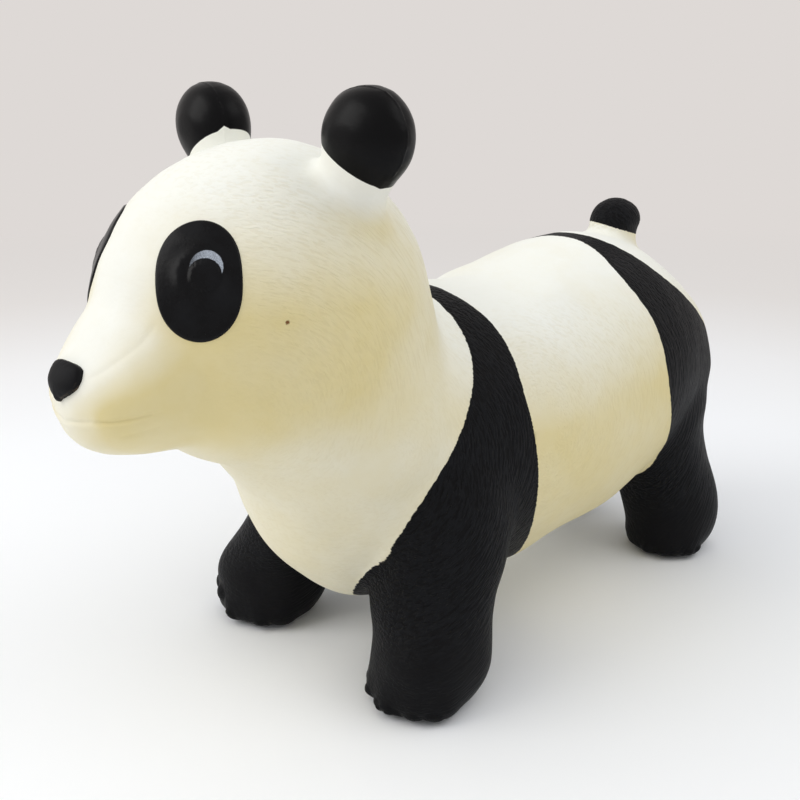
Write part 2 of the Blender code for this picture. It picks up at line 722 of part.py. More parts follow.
def add_lobes(skin, head, torso, parts, guides, gloss_black, black):
    """The ears on the head and the tail on the trunk."""
    for side, hand in ((1, "left"), (-1, "right")):
        up = ear_axis(side)
        pivot = ear_centre(side) - up * EAR_PIVOT_DROP
        reach = EAR_PIVOT_DROP + EAR_HALF_HEIGHT * LOBE_ZONE_REACH_SHARE
        part_lobe(f"ear_{hand}", skin, head, parts, guides, gloss_black, pivot, up,
                  EAR_SOCKET_RADIUS, EAR_SOCKET_WRAP_DEG, reach)
    up = Vector((0.0, 0.0, 1.0))
    pivot = Vector((0.0, TAIL_Y, TAIL_Z)) - up * TAIL_PIVOT_DROP
    reach = TAIL_PIVOT_DROP + TAIL_HALF_HEIGHT * LOBE_ZONE_REACH_SHARE
    part_lobe("tail", skin, torso, parts, guides, black, pivot, up,
              TAIL_SOCKET_RADIUS, TAIL_SOCKET_WRAP_DEG, reach)


def add_face(skin, head, parts, guides, black):
    """Nose cap and eye patches."""
    section("nose", skin, nose_zone("nose_zone", guides, 0.0), parts, black)
    boolean(head, nose_zone("nose_clearance", guides, PARTING_GAP), "DIFFERENCE")
    for side, hand in ((1, "left"), (-1, "right")):
        name = f"eye_patch_{hand}"
        eye = section(name, skin, eye_zone(f"{name}_zone", guides, side, 0.0), parts, black)
        boolean(eye, pupil_form(f"{name}_pupil", guides, side), "UNION")
        boolean(head, eye_zone(f"{name}_clearance", guides, side, PARTING_GAP), "DIFFERENCE")


def add_valve(torso, parts, guides, cream, clear_plastic):
    """The moulded collar in the belly and the plug that holds the air."""
    boolean(torso, collar_pocket("valve_pocket", guides), "DIFFERENCE")
    turned("valve_collar", collar_profile(), parts, cream)
    plug = turned("valve_plug", plug_profile(), parts, clear_plastic)
    boolean(plug, plug_tab("valve_plug_tab", guides), "UNION")


def main():
    """Builds the hopper."""
    clear_scene()
    parts = new_collection(MODEL_NAME)
    guides = new_collection(f"{MODEL_NAME}_cutters")
    cream = plastic("cream_pvc", (0.88, 0.86, 0.74), 0.42)
    black = plastic("black_pvc", (0.012, 0.012, 0.013), 0.38)
    gloss_black = plastic("gloss_black_pvc", (0.010, 0.010, 0.011), 0.22)
    white = plastic("plug_white", (0.85, 0.85, 0.83), 0.35)
    skin = make_skin(guides)
    torso = section("torso", skin, None, parts, cream)
    boolean(torso, head_zone("head_clearance", guides, PARTING_GAP), "DIFFERENCE")
    head = section("head", skin, head_zone("head_zone", guides, 0.0), parts, cream)
    add_legs(skin, torso, parts, guides, black)
    add_lobes(skin, head, torso, parts, guides, gloss_black, black)
    add_face(skin, head, parts, guides, gloss_black)
    add_valve(torso, parts, guides, cream, white)


if __name__ == "__main__":
    main()
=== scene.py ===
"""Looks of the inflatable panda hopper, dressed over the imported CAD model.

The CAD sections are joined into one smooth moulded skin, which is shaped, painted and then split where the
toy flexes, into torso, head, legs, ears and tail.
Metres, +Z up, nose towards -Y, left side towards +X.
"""
import math

import bmesh
import bpy
import numpy as np
from mathutils import Matrix, Vector
from mathutils.bvhtree import BVHTree


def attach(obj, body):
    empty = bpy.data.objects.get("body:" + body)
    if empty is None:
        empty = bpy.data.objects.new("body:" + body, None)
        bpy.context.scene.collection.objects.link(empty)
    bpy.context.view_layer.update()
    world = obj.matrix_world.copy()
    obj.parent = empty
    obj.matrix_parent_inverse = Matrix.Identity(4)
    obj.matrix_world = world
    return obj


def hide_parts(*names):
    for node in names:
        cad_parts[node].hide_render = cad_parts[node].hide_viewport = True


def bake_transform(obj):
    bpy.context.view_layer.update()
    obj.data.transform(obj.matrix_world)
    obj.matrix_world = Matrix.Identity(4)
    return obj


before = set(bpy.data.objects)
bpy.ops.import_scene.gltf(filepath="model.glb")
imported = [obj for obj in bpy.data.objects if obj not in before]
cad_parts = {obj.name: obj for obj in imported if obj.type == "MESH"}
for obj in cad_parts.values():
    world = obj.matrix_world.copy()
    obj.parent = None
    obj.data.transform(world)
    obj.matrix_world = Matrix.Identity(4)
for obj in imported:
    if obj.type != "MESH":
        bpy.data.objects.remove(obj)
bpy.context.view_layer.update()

SIDES = {"left": 1, "right": -1}

# Camera, fitted to the photograph
CAMERA_AZIMUTH = math.radians(46.388)
CAMERA_ELEVATION = math.radians(17.614)
CAMERA_ROLL = math.radians(-0.229)
CAMERA_TARGET = Vector((-0.0272, -0.0184, 0.1904))
CAMERA_DISTANCE = 0.9213
CAMERA_LENS = 48.45

# Moulded skin, made from the CAD sections
SKIN_NODES = (
    "torso", "head", "nose", "eye_patch_left", "eye_patch_right", "ear_left", "ear_right", "tail",
    "leg_front_left", "leg_front_right", "leg_rear_left", "leg_rear_right",
)
SKIN_VOXEL = 0.0033
SMOOTH_ROUNDS = 80
SOLE_RISE = 0.0012
FINE_ROUNDS = 8

# Least distance between a new edge and an old vertex, on the seams and on the parting planes
SEAM_SNAP = 2e-4
CUT_SNAP = 4e-4

# Reach of the finer mesh round the moulded lines, the ears and the toes
LINE_REACH = 0.009
EAR_FINE_REACH = 0.050
TOE_FINE_REACH = 0.016

# Flexing places of the CAD model
NAPE = Vector((0.0, -0.062, 0.300))
THROAT = Vector((0.0, -0.212, 0.165))
HEAD_CUT_REACH = 1.0
EAR_CENTRE = (0.0865, -0.152, 0.4215)
EAR_TILT = math.radians(19.0)
EAR_CUT_DROP = 0.023
EAR_CUT_REACH = 0.07
TAIL_CENTRE = (0.0, 0.243, 0.3205)
TAIL_CUT_DROP = 0.011
TAIL_CUT_REACH = 0.034
TAIL_SWELL = 0.08
TAIL_BALL_REACH = (0.034, 0.028)
TAIL_BALL_Z = (0.312, 0.322)
LEG_CUT_Z = 0.088
LEG_CUT_TILT = math.radians(38.0)
LEG_CUT_REACH = 0.089
FEET = {"front": (0.096, -0.107), "rear": (0.076, 0.262)}
FOOT_RADIUS = {"front": 0.047, "rear": 0.0435}

# Paint edges, as (height, place along the body)
FORE_FRONT_EDGE = (
    (0.060, -0.118), (0.090, -0.133), (0.120, -0.129), (0.150, -0.117), (0.200, -0.084), (0.250, -0.053),
    (0.300, -0.036),
)
FORE_BACK_EDGE = (
    (0.060, 0.020), (0.090, 0.009), (0.120, -0.002), (0.160, -0.009), (0.220, -0.016), (0.290, -0.017),
    (0.300, -0.022),
)
REAR_FRONT_EDGE = (
    (0.060, 0.206), (0.080, 0.201), (0.115, 0.200), (0.150, 0.180), (0.190, 0.163), (0.250, 0.156),
    (0.300, 0.153), (0.316, 0.164),
)
REAR_BACK_EDGE = ((0.180, 0.340), (0.250, 0.244), (0.280, 0.208), (0.315, 0.178))
# Share of a distance along the body, or upward, that lies across a slanting edge
EDGE_SLANT = 0.85
# Cream strip along the belly: half width, top, and the place behind which the black runs right across
BELLY_EDGE_X = {"front": 0.026, "rear": 0.030}
BELLY_EDGE_Z = 0.115
BELLY_EDGE_Y = 0.275
# The black between chest and forelegs: its top, and the half width of the cream there and how that narrows
CHEST_BLACK_TOP = 0.104
CHEST_EDGE = (0.062, 0.886)
CHEST_EDGE_Y = -0.03
# The black round a foot: its top, and its reach at two heights
FOOT_BLACK_TOP = 0.072
FOOT_BLACK_Z = (0.045, 0.070)
FOOT_BLACK_REACH = (0.080, 0.056)
# Sloping edges of the black on ears and tail: a place on the edge, and its fall along x and y
EAR_BLACK_PLACE = (0.0575, -0.16, 0.4185)
EAR_BLACK_FALL = (0.62, 0.15)
EAR_BLACK_REACH = 0.05
# The edge of the ears' black rises at the inner end of the seam and dips at the outer
EAR_NOTCH_INNER = 0.0026
EAR_NOTCH_OUTER = -0.0014
EAR_NOTCH_HALF = 0.0045
TAIL_BLACK_PLACE = (0.0, 0.2215, 0.3183)
TAIL_BLACK_FALL = (0.13, 0.27)

# Moulded hair runs round these points of the side view (y, z), with the coordinates' jump in that direction
WHIRLS = {
    "head": (-0.265, 0.235, math.radians(-90)),
    "fore": (-0.156, 0.195, math.radians(135)),
    "flank": (-0.0035, 0.197, math.radians(200)),
}
HAIR_RADIUS = 0.10
HAIR_SCALE = (540.0, 95.0, 260.0)
# Where the hair's depth changes, as (from, to)
MUZZLE_HAIR_Y = (-0.285, -0.205)
CROWN_HAIR_Z = (0.385, 0.415)
JAW_HAIR_Z = (0.24, 0.28)
BACK_HAIR_Z = (0.255, 0.288)
FOOT_HAIR_Z = (0.045, 0.080)
TAIL_HAIR_REACH = 0.036
# The hair fades out towards an ear, from the first distance from its centre to the second
EAR_SMOOTH_REACH = (0.064, 0.036)

# Air valve under the belly: profiles as (radius, height above the valve's place)
VALVE_PLACE = (0.0, 0.084, 0.05225)
COLLAR_PROFILE = (
    (0.0105, 0.018), (0.0105, 0.0018), (0.0150, 0.0018), (0.0150, -0.0004), (0.0061, -0.0004),
    (0.0055, 0.018),
)
PLUG_TIP = ((0.0, 0.0133), (0.0024, 0.0133), (0.0042, 0.0113))
PLUG_HEAD = ((0.0048, -0.0007), (0.0090, -0.0007), (0.0090, -0.0024), (0.0081, -0.0033), (0.0, -0.0033))
# Sealing rings of the plug, as (height, radius of the shank, radius of the ring)
PLUG_RINGS = ((0.0102, 0.0044, 0.0051), (0.0069, 0.0045, 0.0052), (0.0035, 0.0047, 0.0053))
PLUG_RING_HALF = 0.0007
# Half width, half thickness and length of the plug's finger tab
PLUG_TAB = (0.0063, 0.0011, 0.0075)
TAB_SINK = 0.001
TAB_CORNER = 0.003
VALVE_DISH = 0.0165
VALVE_DISH_FADE = 1.7
VALVE_DISH_TOP = 0.02
VALVE_DISH_LIFT = 0.0004
VALVE_SIDES = 48
VALVE_ROUNDING = 0.00035

# Swellings and hollows of the skin, chosen against the outline seen in the photograph:
# (centre x, y, z, width) in metres and push x, y, z in whole millimetres
# Each is repeated on the other side of the body
STROKES = {
    "chin drawn up": (0.025, -0.295, 0.225, 0.025, -1, 1, 2),
    "lip drawn back": (0.020, -0.330, 0.250, 0.012, 0, 2, 0),
    "crown raised": (0.000, -0.150, 0.410, 0.030, 0, 0, 1),
    "throat drawn in": (0.020, -0.215, 0.190, 0.025, 0, 1, 1),
    "ear fuller inside": (0.060, -0.170, 0.420, 0.025, -1, -3, 0),
    "ear fuller outside": (0.110, -0.155, 0.440, 0.025, 2, -1, 1),
    "chest let down between the forelegs": (0.020, -0.110, 0.070, 0.025, 3, -3, -7),
    "breast fuller": (0.040, -0.175, 0.150, 0.012, 1, -2, 0),
    "back let down behind the shoulders": (0.040, 0.030, 0.290, 0.025, -1, 0, -4),
    "back raised at the seat": (0.060, 0.075, 0.280, 0.015, 1, 0, 3),
    "croup raised": (0.020, 0.185, 0.310, 0.020, 0, 0, 1),
    "rump let down beside the tail": (0.045, 0.270, 0.275, 0.030, -4, -3, -5),
    "tail stub drawn in": (0.020, 0.245, 0.305, 0.012, -2, 0, 0),
    "haunch fuller": (0.095, 0.270, 0.180, 0.020, 5, 3, 0),
    "hock drawn in": (0.100, 0.270, 0.125, 0.025, -4, -2, 0),
    "hind foot fuller": (0.105, 0.285, 0.055, 0.020, 3, 2, 1),
    "hind leg fuller inside": (0.040, 0.230, 0.050, 0.025, -5, -4, -1),
    "hind sole rounded": (0.100, 0.245, 0.000, 0.025, -1, 0, 2),
    "belly's side let down": (0.090, 0.125, 0.090, 0.025, 2, 0, -3),
    "flank let down behind the foreleg": (0.070, 0.020, 0.070, 0.020, 2, 0, -3),
    "shoulder fuller behind": (0.120, -0.050, 0.100, 0.020, 4, 2, 0),
    "forefoot fuller behind": (0.125, -0.070, 0.040, 0.020, 2, 2, 0),
    "forefoot fuller outside": (0.125, -0.140, 0.045, 0.020, 4, -5, 1),
    "foreleg drawn in above the foot": (0.120, -0.120, 0.095, 0.025, -4, 4, -3),
    "foreleg fuller inside": (0.060, -0.130, 0.080, 0.015, -2, -2, -1),
    "ankle drawn in": (0.070, -0.145, 0.050, 0.015, 2, 2, 0),
    "fore sole rounded": (0.090, -0.130, 0.000, 0.030, 0, 1, 2),
}

# Moulded lines of the muzzle, as points on the skin from the front backward, repeated on the other side
MOUTH = (
    (0.0, -0.3365, 0.2532), (0.0268, -0.3313, 0.2569), (0.0422, -0.3201, 0.2587), (0.0526, -0.3049, 0.2621),
    (0.0580, -0.2900, 0.2645),
)
MOUTH_DEPTH = 0.0013
MOUTH_HALF = 0.0013
LIP_OFF = 0.0036
LIP_HALF = 0.0022
LOWER_LIP_RISE = 0.0004
UPPER_LIP_RISE = 0.0001
LIP_CREASE = (
    (0.0360, -0.3190, 0.2475), (0.0422, -0.3159, 0.2484), (0.0520, -0.2999, 0.2528),
    (0.0560, -0.2880, 0.2560),
)
LIP_CREASE_DEPTH = 0.0005
LIP_CREASE_HALF = 0.0022
CHEEK_CREASE = (
    (0.0160, -0.3310, 0.2790), (0.0269, -0.3220, 0.2867), (0.0343, -0.3119, 0.2950),
    (0.0404, -0.3003, 0.3035), (0.0415, -0.2920, 0.3125),
)
CHEEK_CREASE_DEPTH = 0.0004
CHEEK_CREASE_HALF = 0.0024
EAR_SEAM_Y = -0.1592
EAR_SEAM_SLOPE = 0.19
EAR_SEAM_HALF = 0.0011
EAR_SEAM_RISE = 0.0004
EAR_SEAM_REACH = (0.046, 0.042)
EAR_SEAM_DROP = (-0.026, -0.020)

# Toes, as (degrees round the sole's centre from straight outward, height in metres, rise in millimetres)
REAR_TOES = ((-14, 0.006, 3.0), (-32, 0.005, 3.0), (-50, 0.005, 3.0), (-68, 0.006, 3.0), (-87, 0.008, 3.0))
TOES = {
    "front_left": (
        (-40, 0.005, 3.4), (-59, 0.004, 2.8), (-79, 0.004, 2.8), (-99, 0.005, 4.0), (-120, 0.007, 2.6),
        (-140, 0.009, 1.6),
    ),
    "front_right": (
        (-47, 0.026, 3.0), (-66, 0.023, 3.0), (-84, 0.017, 0.9), (-104, 0.010, 0.7), (-126, 0.005, 2.4),
    ),
    "rear_left": REAR_TOES,
    "rear_right": REAR_TOES,
}
TOE_ROUNDNESS = 0.7
TOE_HALF = 0.0072

# Eye patch, in the plane that it lies in: u level, v upward
EYE_CENTRE = (0.0562, -0.2661, 0.3406)
EYE_NORMAL = (0.601, -0.711, 0.364)
EYE_HALF_WIDTH = 0.0275
EYE_HALF_HEIGHT = 0.038
EYE_LEAN = math.radians(5)
EYE_RISE = 0.0012
PUPIL_PLACE = (0.0043, 0.0023)
PUPIL_RADIUS = 0.0097
PUPIL_RISE = 0.0012
PUPIL_EDGE = 0.0016
PUPIL_DOME = 0.2
GROOVE_OFF = 0.0012
GROOVE_HALF = 0.0010
GROOVE_DEPTH = 0.0003
# The skin under a pupil is evened out, between these shares of its radius
PUPIL_FLAT = (1.7, 1.2)
PUPIL_FLAT_ROUNDS = 12
PUPIL_SPREAD_ROUNDS = 8
GLEAM_PLACE = (0.0052, 0.0075)
GLEAM_RADIUS = 0.0104
GLEAM_GAP = 0.0010
FAR_EYE_SHIFT = (0.004, 0.002)
NOSE_CENTRE = (0.0, -0.3360, 0.2815)
NOSE_NORMAL = (0.0, -0.93, 0.36)
# Nose, as (degrees from level, radius), mirrored about the upright
NOSE_OUTLINE = (
    (-90, 0.0145), (-75, 0.0125), (-50, 0.0125), (-30, 0.0140), (-10, 0.0165), (10, 0.0175), (30, 0.0175),
    (50, 0.0140), (70, 0.0115), (90, 0.0110),
)
NOSE_RISE = 0.0034
NOSE_RIM = 0.0026

# A raised patch is cast onto the skin from this far out, and closed with a skirt and a middle under the skin
CAST_START = 0.03
PATCH_SKIRT = 0.0015
PATCH_SINK = 0.004


def link(obj):
    """Puts an object in the scene."""
    bpy.context.scene.collection.objects.link(obj)
    return obj


def mesh_arrays(mesh):
    """Vertex places and edges of a mesh as arrays."""
    points = np.empty(len(mesh.vertices) * 3)
    mesh.vertices.foreach_get("co", points)
    edges = np.empty(len(mesh.edges) * 2, dtype=np.int64)
    mesh.edges.foreach_get("vertices", edges)
    return points.reshape(-1, 3), edges.reshape(-1, 2)


def mesh_normals(mesh):
    """Vertex normals as an array."""
    normals = np.empty(len(mesh.vertices) * 3)
    mesh.vertex_normals.foreach_get("vector", normals)
    return normals.reshape(-1, 3)


def set_points(mesh, points):
    """Writes vertex places back."""
    mesh.vertices.foreach_set("co", np.ascontiguousarray(points, dtype=np.float32).ravel())
    mesh.update()


def shade_smooth(mesh):
    """Shades all faces smooth."""
    mesh.polygons.foreach_set("use_smooth", np.ones(len(mesh.polygons), dtype=bool))


def on_side(place, side):
    """A place given for the left, on the side that is asked for."""
    return Vector((side * place[0], place[1], place[2]))


def put(mesh, name, values):
    """Keeps a number, or three, for each vertex as an attribute that the materials read."""
    kind = "FLOAT_VECTOR" if np.ndim(values) == 2 else "FLOAT"
    field = "vector" if kind == "FLOAT_VECTOR" else "value"
    layer = mesh.attributes.get(name) or mesh.attributes.new(name, kind, "POINT")
    layer.data.foreach_set(field, np.ascontiguousarray(values, dtype=np.float32).ravel())


def smoothstep(low, high, value):
    """0 below low, 1 above high and smooth between."""
    share = np.clip((value - low) / (high - low), 0.0, 1.0)
    return share * share * (3 - 2 * share)


def neighbour_sum(values, edges):
    """Sum of the neighbours' values at each vertex."""
    count = len(values)
    first, second = edges.T
    return np.stack([
        np.bincount(first, column[second], count) + np.bincount(second, column[first], count)
        for column in values.T
    ], axis=1)


def relax(points, edges, rounds, weight):
    """Taubin smoothing, which evens facets out and keeps the volume."""
    valence = np.maximum(np.bincount(edges.ravel(), minlength=len(points)), 1)[:, None]
    for _ in range(rounds):
        for factor in (0.5, -0.52):
            points = points + factor * weight[:, None] * (neighbour_sum(points, edges) / valence - points)
    return points


def spread(values, edges, rounds):
    """Values averaged again and again with those of the neighbours."""
    valence = np.bincount(edges.ravel(), minlength=len(values))
    for _ in range(rounds):
        values = (values + neighbour_sum(values, edges)) / (1 + valence)[:, None]
    return values


def folded(points):
    """The points, with the right side laid over the left."""
    made = points.copy()
    made[:, 0] = np.abs(made[:, 0])
    return made


def off_ear(points):
    """Distance from the centre of the nearer ear."""
    return np.linalg.norm(folded(points) - EAR_CENTRE, axis=1)


def off_seam(points):
    """Distance along the body from the seam of the nearer ear, positive behind it."""
    x, y, _ = folded(points).T
    return y - EAR_SEAM_Y - EAR_SEAM_SLOPE * (x - EAR_CENTRE[0])


def brushed(points):
    """The points after the shape corrections."""
    moved = points.copy()
    for x, y, z, width, *push in STROKES.values():
        here = np.exp(-((points - (x, y, z)) ** 2).sum(1) / (2 * width ** 2))
        there = np.exp(-((points - (-x, y, z)) ** 2).sum(1) / (2 * width ** 2))
        moved[:, 0] += 0.001 * push[0] * (here - there)
        moved[:, 1] += 0.001 * push[1] * (here + there)
        moved[:, 2] += 0.001 * push[2] * (here + there)
    ball = smoothstep(*TAIL_BALL_REACH, np.linalg.norm(points - TAIL_CENTRE, axis=1))
    ball = ball * smoothstep(*TAIL_BALL_Z, points[:, 2])
    moved[:, :2] += TAIL_SWELL * ball[:, None] * (points[:, :2] - TAIL_CENTRE[:2])
    away = np.hypot(points[:, 0] - VALVE_PLACE[0], points[:, 1] - VALVE_PLACE[1])
    dish = smoothstep(VALVE_DISH * VALVE_DISH_FADE, VALVE_DISH, away)
    dish = dish * (points[:, 2] < VALVE_PLACE[2] + VALVE_DISH_TOP)
    moved[:, 2] += dish * (VALVE_PLACE[2] + VALVE_DISH_LIFT - moved[:, 2])
    return moved


def line_reach(points, path):
    """Distance of each folded point from a line of points, and how far along it, 0 to 1."""
    points = folded(points)
    path = np.array(path)
    best, along = np.full(len(points), 1.0), np.zeros(len(points))
    for number, (start, end) in enumerate(zip(path, path[1:])):
        step = end - start
        share = np.clip((points - start) @ step / (step @ step), 0, 1)
        away = np.linalg.norm(points - start - share[:, None] * step, axis=1)
        closer = away < best
        best = np.where(closer, away, best)
        along = np.where(closer, (number + share) / (len(path) - 1), along)
    return best, along


def toe_places():
    """Centre, outward direction, foot radius and rise of each toe."""
    made = []
    for place, (x, y) in FEET.items():
        for hand, side in SIDES.items():
            for angle, height, rise in TOES[f"{place}_{hand}"]:
                turn = math.radians(angle)
                out = np.array((side * math.cos(turn), math.sin(turn), 0.0))
                made.append((np.array((side * x, y, height)), out, FOOT_RADIUS[place], rise * 0.001))
    return made


def refine(mesh, where):
    """Splits the faces whose corners are all inside the region."""
    points, _ = mesh_arrays(mesh)
    inside = where(points)
    bm = bmesh.new()
    bm.from_mesh(mesh)
    edges = [edge for edge in bm.edges if inside[edge.verts[0].index] and inside[edge.verts[1].index]]
    bmesh.ops.subdivide_edges(bm, edges=edges, cuts=1, use_grid_fill=True)
    bm.to_mesh(mesh)
    bm.free()


def near_lines(points):
    """Where the moulded lines of the muzzle need a finer mesh."""
    reaches = [line_reach(points, path)[0] for path in (MOUTH, LIP_CREASE, CHEEK_CREASE)]
    return np.min(reaches, axis=0) < LINE_REACH


def near_ears(points):
    """Where the ears need a finer mesh."""
    return off_ear(points) < EAR_FINE_REACH


def near_toes(points):
    """Where the toes need a finer mesh."""
    inside = np.zeros(len(points), dtype=bool)
    for centre, out, radius, _ in toe_places():
        inside |= np.linalg.norm(points - centre - out * radius, axis=1) < TOE_FINE_REACH
    return inside


def lay_edges(bm, faces, point, normal, snap):
    """Lays edges where a plane crosses the given faces."""
    edges = {edge for face in faces for edge in face.edges}
    verts = {vert for face in faces for vert in face.verts}
    bmesh.ops.bisect_plane(bm, geom=[*faces, *edges, *verts], plane_co=point, plane_no=normal, dist=snap)


def cut_ear_seams(mesh):
    """Lays edges along the ears' parting seams."""
    bm = bmesh.new()
    bm.from_mesh(mesh)
    for side in SIDES.values():
        centre = on_side(EAR_CENTRE, side)
        normal = Vector((-side * EAR_SEAM_SLOPE, 1.0, 0.0)).normalized()
        for offset in (-EAR_SEAM_HALF, 0.0, EAR_SEAM_HALF):
            point = Vector((centre.x, EAR_SEAM_Y, centre.z)) + normal * offset
            near = [
                face for face in bm.faces
                if (face.calc_center_median() - centre).length < EAR_SEAM_REACH[0]
            ]
            lay_edges(bm, near, point, normal, SEAM_SNAP)
    bm.to_mesh(mesh)
    bm.free()


def sculpt(mesh):
    """Moulded lines, toes and seams, pressed into or raised from the skin."""
    points, _ = mesh_arrays(mesh)
    normals = mesh_normals(mesh)
    x, _, z = folded(points).T
    rise = np.zeros(len(points))
    away, along = line_reach(points, MOUTH)
    fade = smoothstep(1.0, 0.55, along)
    mouth_x, _, mouth_z = np.array(MOUTH).T
    lip_rise = np.where(z < np.interp(x, mouth_x, mouth_z), LOWER_LIP_RISE, UPPER_LIP_RISE)
    rise -= MOUTH_DEPTH * fade * np.exp(-(away / MOUTH_HALF) ** 2)
    rise += lip_rise * fade * np.exp(-((away - LIP_OFF) / LIP_HALF) ** 2)
    away, along = line_reach(points, LIP_CREASE)
    fade = smoothstep(0.0, 0.3, along) * smoothstep(1.0, 0.6, along)
    rise -= LIP_CREASE_DEPTH * fade * np.exp(-(away / LIP_CREASE_HALF) ** 2)
    away, along = line_reach(points, CHEEK_CREASE)
    fade = smoothstep(0.0, 0.2, along)
    rise -= CHEEK_CREASE_DEPTH * fade * np.exp(-(away / CHEEK_CREASE_HALF) ** 2)
    seam = off_seam(points) / math.hypot(1.0, EAR_SEAM_SLOPE)
    on_ear = smoothstep(*EAR_SEAM_REACH, off_ear(points)) * smoothstep(*EAR_SEAM_DROP, z - EAR_CENTRE[2])
    rise += EAR_SEAM_RISE * on_ear * np.clip(1 - np.abs(seam) / (EAR_SEAM_HALF * 0.9), 0, 1)
    moved = points + normals * rise[:, None]
    for centre, out, radius, toe_rise in toe_places():
        local = points - centre
        level = local @ out
        across = local - level[:, None] * out
        size = np.sqrt((across ** 2).sum(1))
        dome = np.clip(1 - (size / TOE_HALF) ** 2, 0, 1) ** TOE_ROUNDNESS
        moved += (level > radius * 0.5)[:, None] * out * (toe_rise * dome)[:, None]
    moved[:, 2] = np.maximum(moved[:, 2], 0.0)
    set_points(mesh, moved)


def eye_plane(side):
    """Centre of an eye patch, its outward direction, and its level and upward directions."""
    normal = on_side(EYE_NORMAL, side).normalized()
    level = Vector((0.0, 0.0, 1.0)).cross(normal).normalized()
    return on_side(EYE_CENTRE, side), normal, level, normal.cross(level)


def joined_skin():
    """One closed mesh over all the CAD sections of the moulding."""
    bm = bmesh.new()
    for name in SKIN_NODES:
        bm.from_mesh(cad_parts[name].data)
    rough = bpy.data.meshes.new("rough_skin")
    bm.to_mesh(rough)
    bm.free()
    obj = link(bpy.data.objects.new("rough_skin", rough))
    remesh = obj.modifiers.new("join", "REMESH")
    remesh.mode = "VOXEL"
    remesh.voxel_size = SKIN_VOXEL
    graph = bpy.context.evaluated_depsgraph_get()
    skin = bpy.data.meshes.new_from_object(obj.evaluated_get(graph))
    bpy.data.objects.remove(obj, do_unlink=True)
    points, edges = mesh_arrays(skin)
    points = brushed(relax(points, edges, SMOOTH_ROUNDS, np.ones(len(points))))
    points[:, 2] = np.where(points[:, 2] < SOLE_RISE, 0.0, points[:, 2])
    for side in SIDES.values():
        centre, _, level, upward = eye_plane(side)
        pupil = np.array(centre + level * side * PUPIL_PLACE[0] + upward * PUPIL_PLACE[1])
        outer, inner = (PUPIL_RADIUS * share for share in PUPIL_FLAT)
        inside = smoothstep(outer, inner, np.linalg.norm(points - pupil, axis=1))
        for _ in range(PUPIL_FLAT_ROUNDS):
            points += inside[:, None] * (spread(points, edges, PUPIL_SPREAD_ROUNDS) - points)
    set_points(skin, points)
    refine(skin, lambda places: near_lines(places) | near_ears(places) | near_toes(places))
    refine(skin, near_lines)
    points, edges = mesh_arrays(skin)
    fine = (near_lines(points) | near_ears(points)).astype(float)
    set_points(skin, relax(points, edges, FINE_ROUNDS, fine))
    cut_ear_seams(skin)
    sculpt(skin)
    return skin


def lean(side, angle):
    """Unit vector up and outward to one side."""
    return Vector((side * math.sin(angle), 0.0, math.cos(angle)))


def cut_plan():
    """(name, parting point, normal into the piece, cut's centre, cut's reach) of each flexing piece."""
    plan = []
    for hand, side in SIDES.items():
        up = lean(side, EAR_TILT)
        centre = on_side(EAR_CENTRE, side)
        plan.append((f"ear_{hand}", centre - up * EAR_CUT_DROP, up, centre, EAR_CUT_REACH))
    centre = Vector(TAIL_CENTRE)
    up = Vector((0.0, 0.0, 1.0))
    plan.append(("tail", centre - up * TAIL_CUT_DROP, up, centre, TAIL_CUT_REACH))
    for place, (x, y) in FEET.items():
        for hand, side in SIDES.items():
            down = -lean(-side, LEG_CUT_TILT)
            joint = Vector((side * x, y, LEG_CUT_Z))
            plan.append((f"leg_{place}_{hand}", joint, down, Vector((side * x, y, 0.0)), LEG_CUT_REACH))
    along = (NAPE - THROAT).normalized()
    plan.append(("head", NAPE, Vector((0.0, -along.z, along.y)), NAPE, HEAD_CUT_REACH))
    return plan


def in_reach(name, point, centre, reach):
    """Whether a point lies in the region that a cut may touch."""
    if name.startswith("leg"):
        return abs(point.y - centre.y) < reach and point.x * centre.x > 0
    return (point - centre).length < reach


def split_skin(skin):
    """Cuts the skin along the parting planes and returns {piece: mesh}, the rest under torso."""
    bm = bmesh.new()
    bm.from_mesh(skin)
    owner = bm.faces.layers.int.new("owner")
    plan = cut_plan()
    for number, (name, point, normal, centre, reach) in enumerate(plan, start=1):
        near = [
            face for face in bm.faces
            if face[owner] == 0 and in_reach(name, face.calc_center_median(), centre, reach)
        ]
        lay_edges(bm, near, point, normal, CUT_SNAP)
        for face in bm.faces:
            middle = face.calc_center_median()
            beyond = (middle - point).dot(normal) > 0
            if face[owner] == 0 and beyond and in_reach(name, middle, centre, reach):
                face[owner] = number
    whole = bpy.data.meshes.new("whole_skin")
    bm.to_mesh(whole)
    normals = mesh_normals(whole)
    index = bm.verts.layers.int.new("index")
    for vert in bm.verts:
        vert[index] = vert.index
    made = {}
    for number, name in enumerate(["torso", *(row[0] for row in plan)]):
        part = bm.copy()
        layer = part.faces.layers.int["owner"]
        bmesh.ops.delete(part, geom=[face for face in part.faces if face[layer] != number], context="FACES")
        keep = part.verts.layers.int["index"]
        rows = [vert[keep] for vert in part.verts]
        mesh = bpy.data.meshes.new(name)
        part.to_mesh(mesh)
        part.free()
        shade_smooth(mesh)
        mesh.normals_split_custom_set_from_vertices(normals[rows])
        for leftover in ("index", "owner"):
            if leftover in mesh.attributes:
                mesh.attributes.remove(mesh.attributes[leftover])
        made[name] = mesh
    bm.free()
    return made


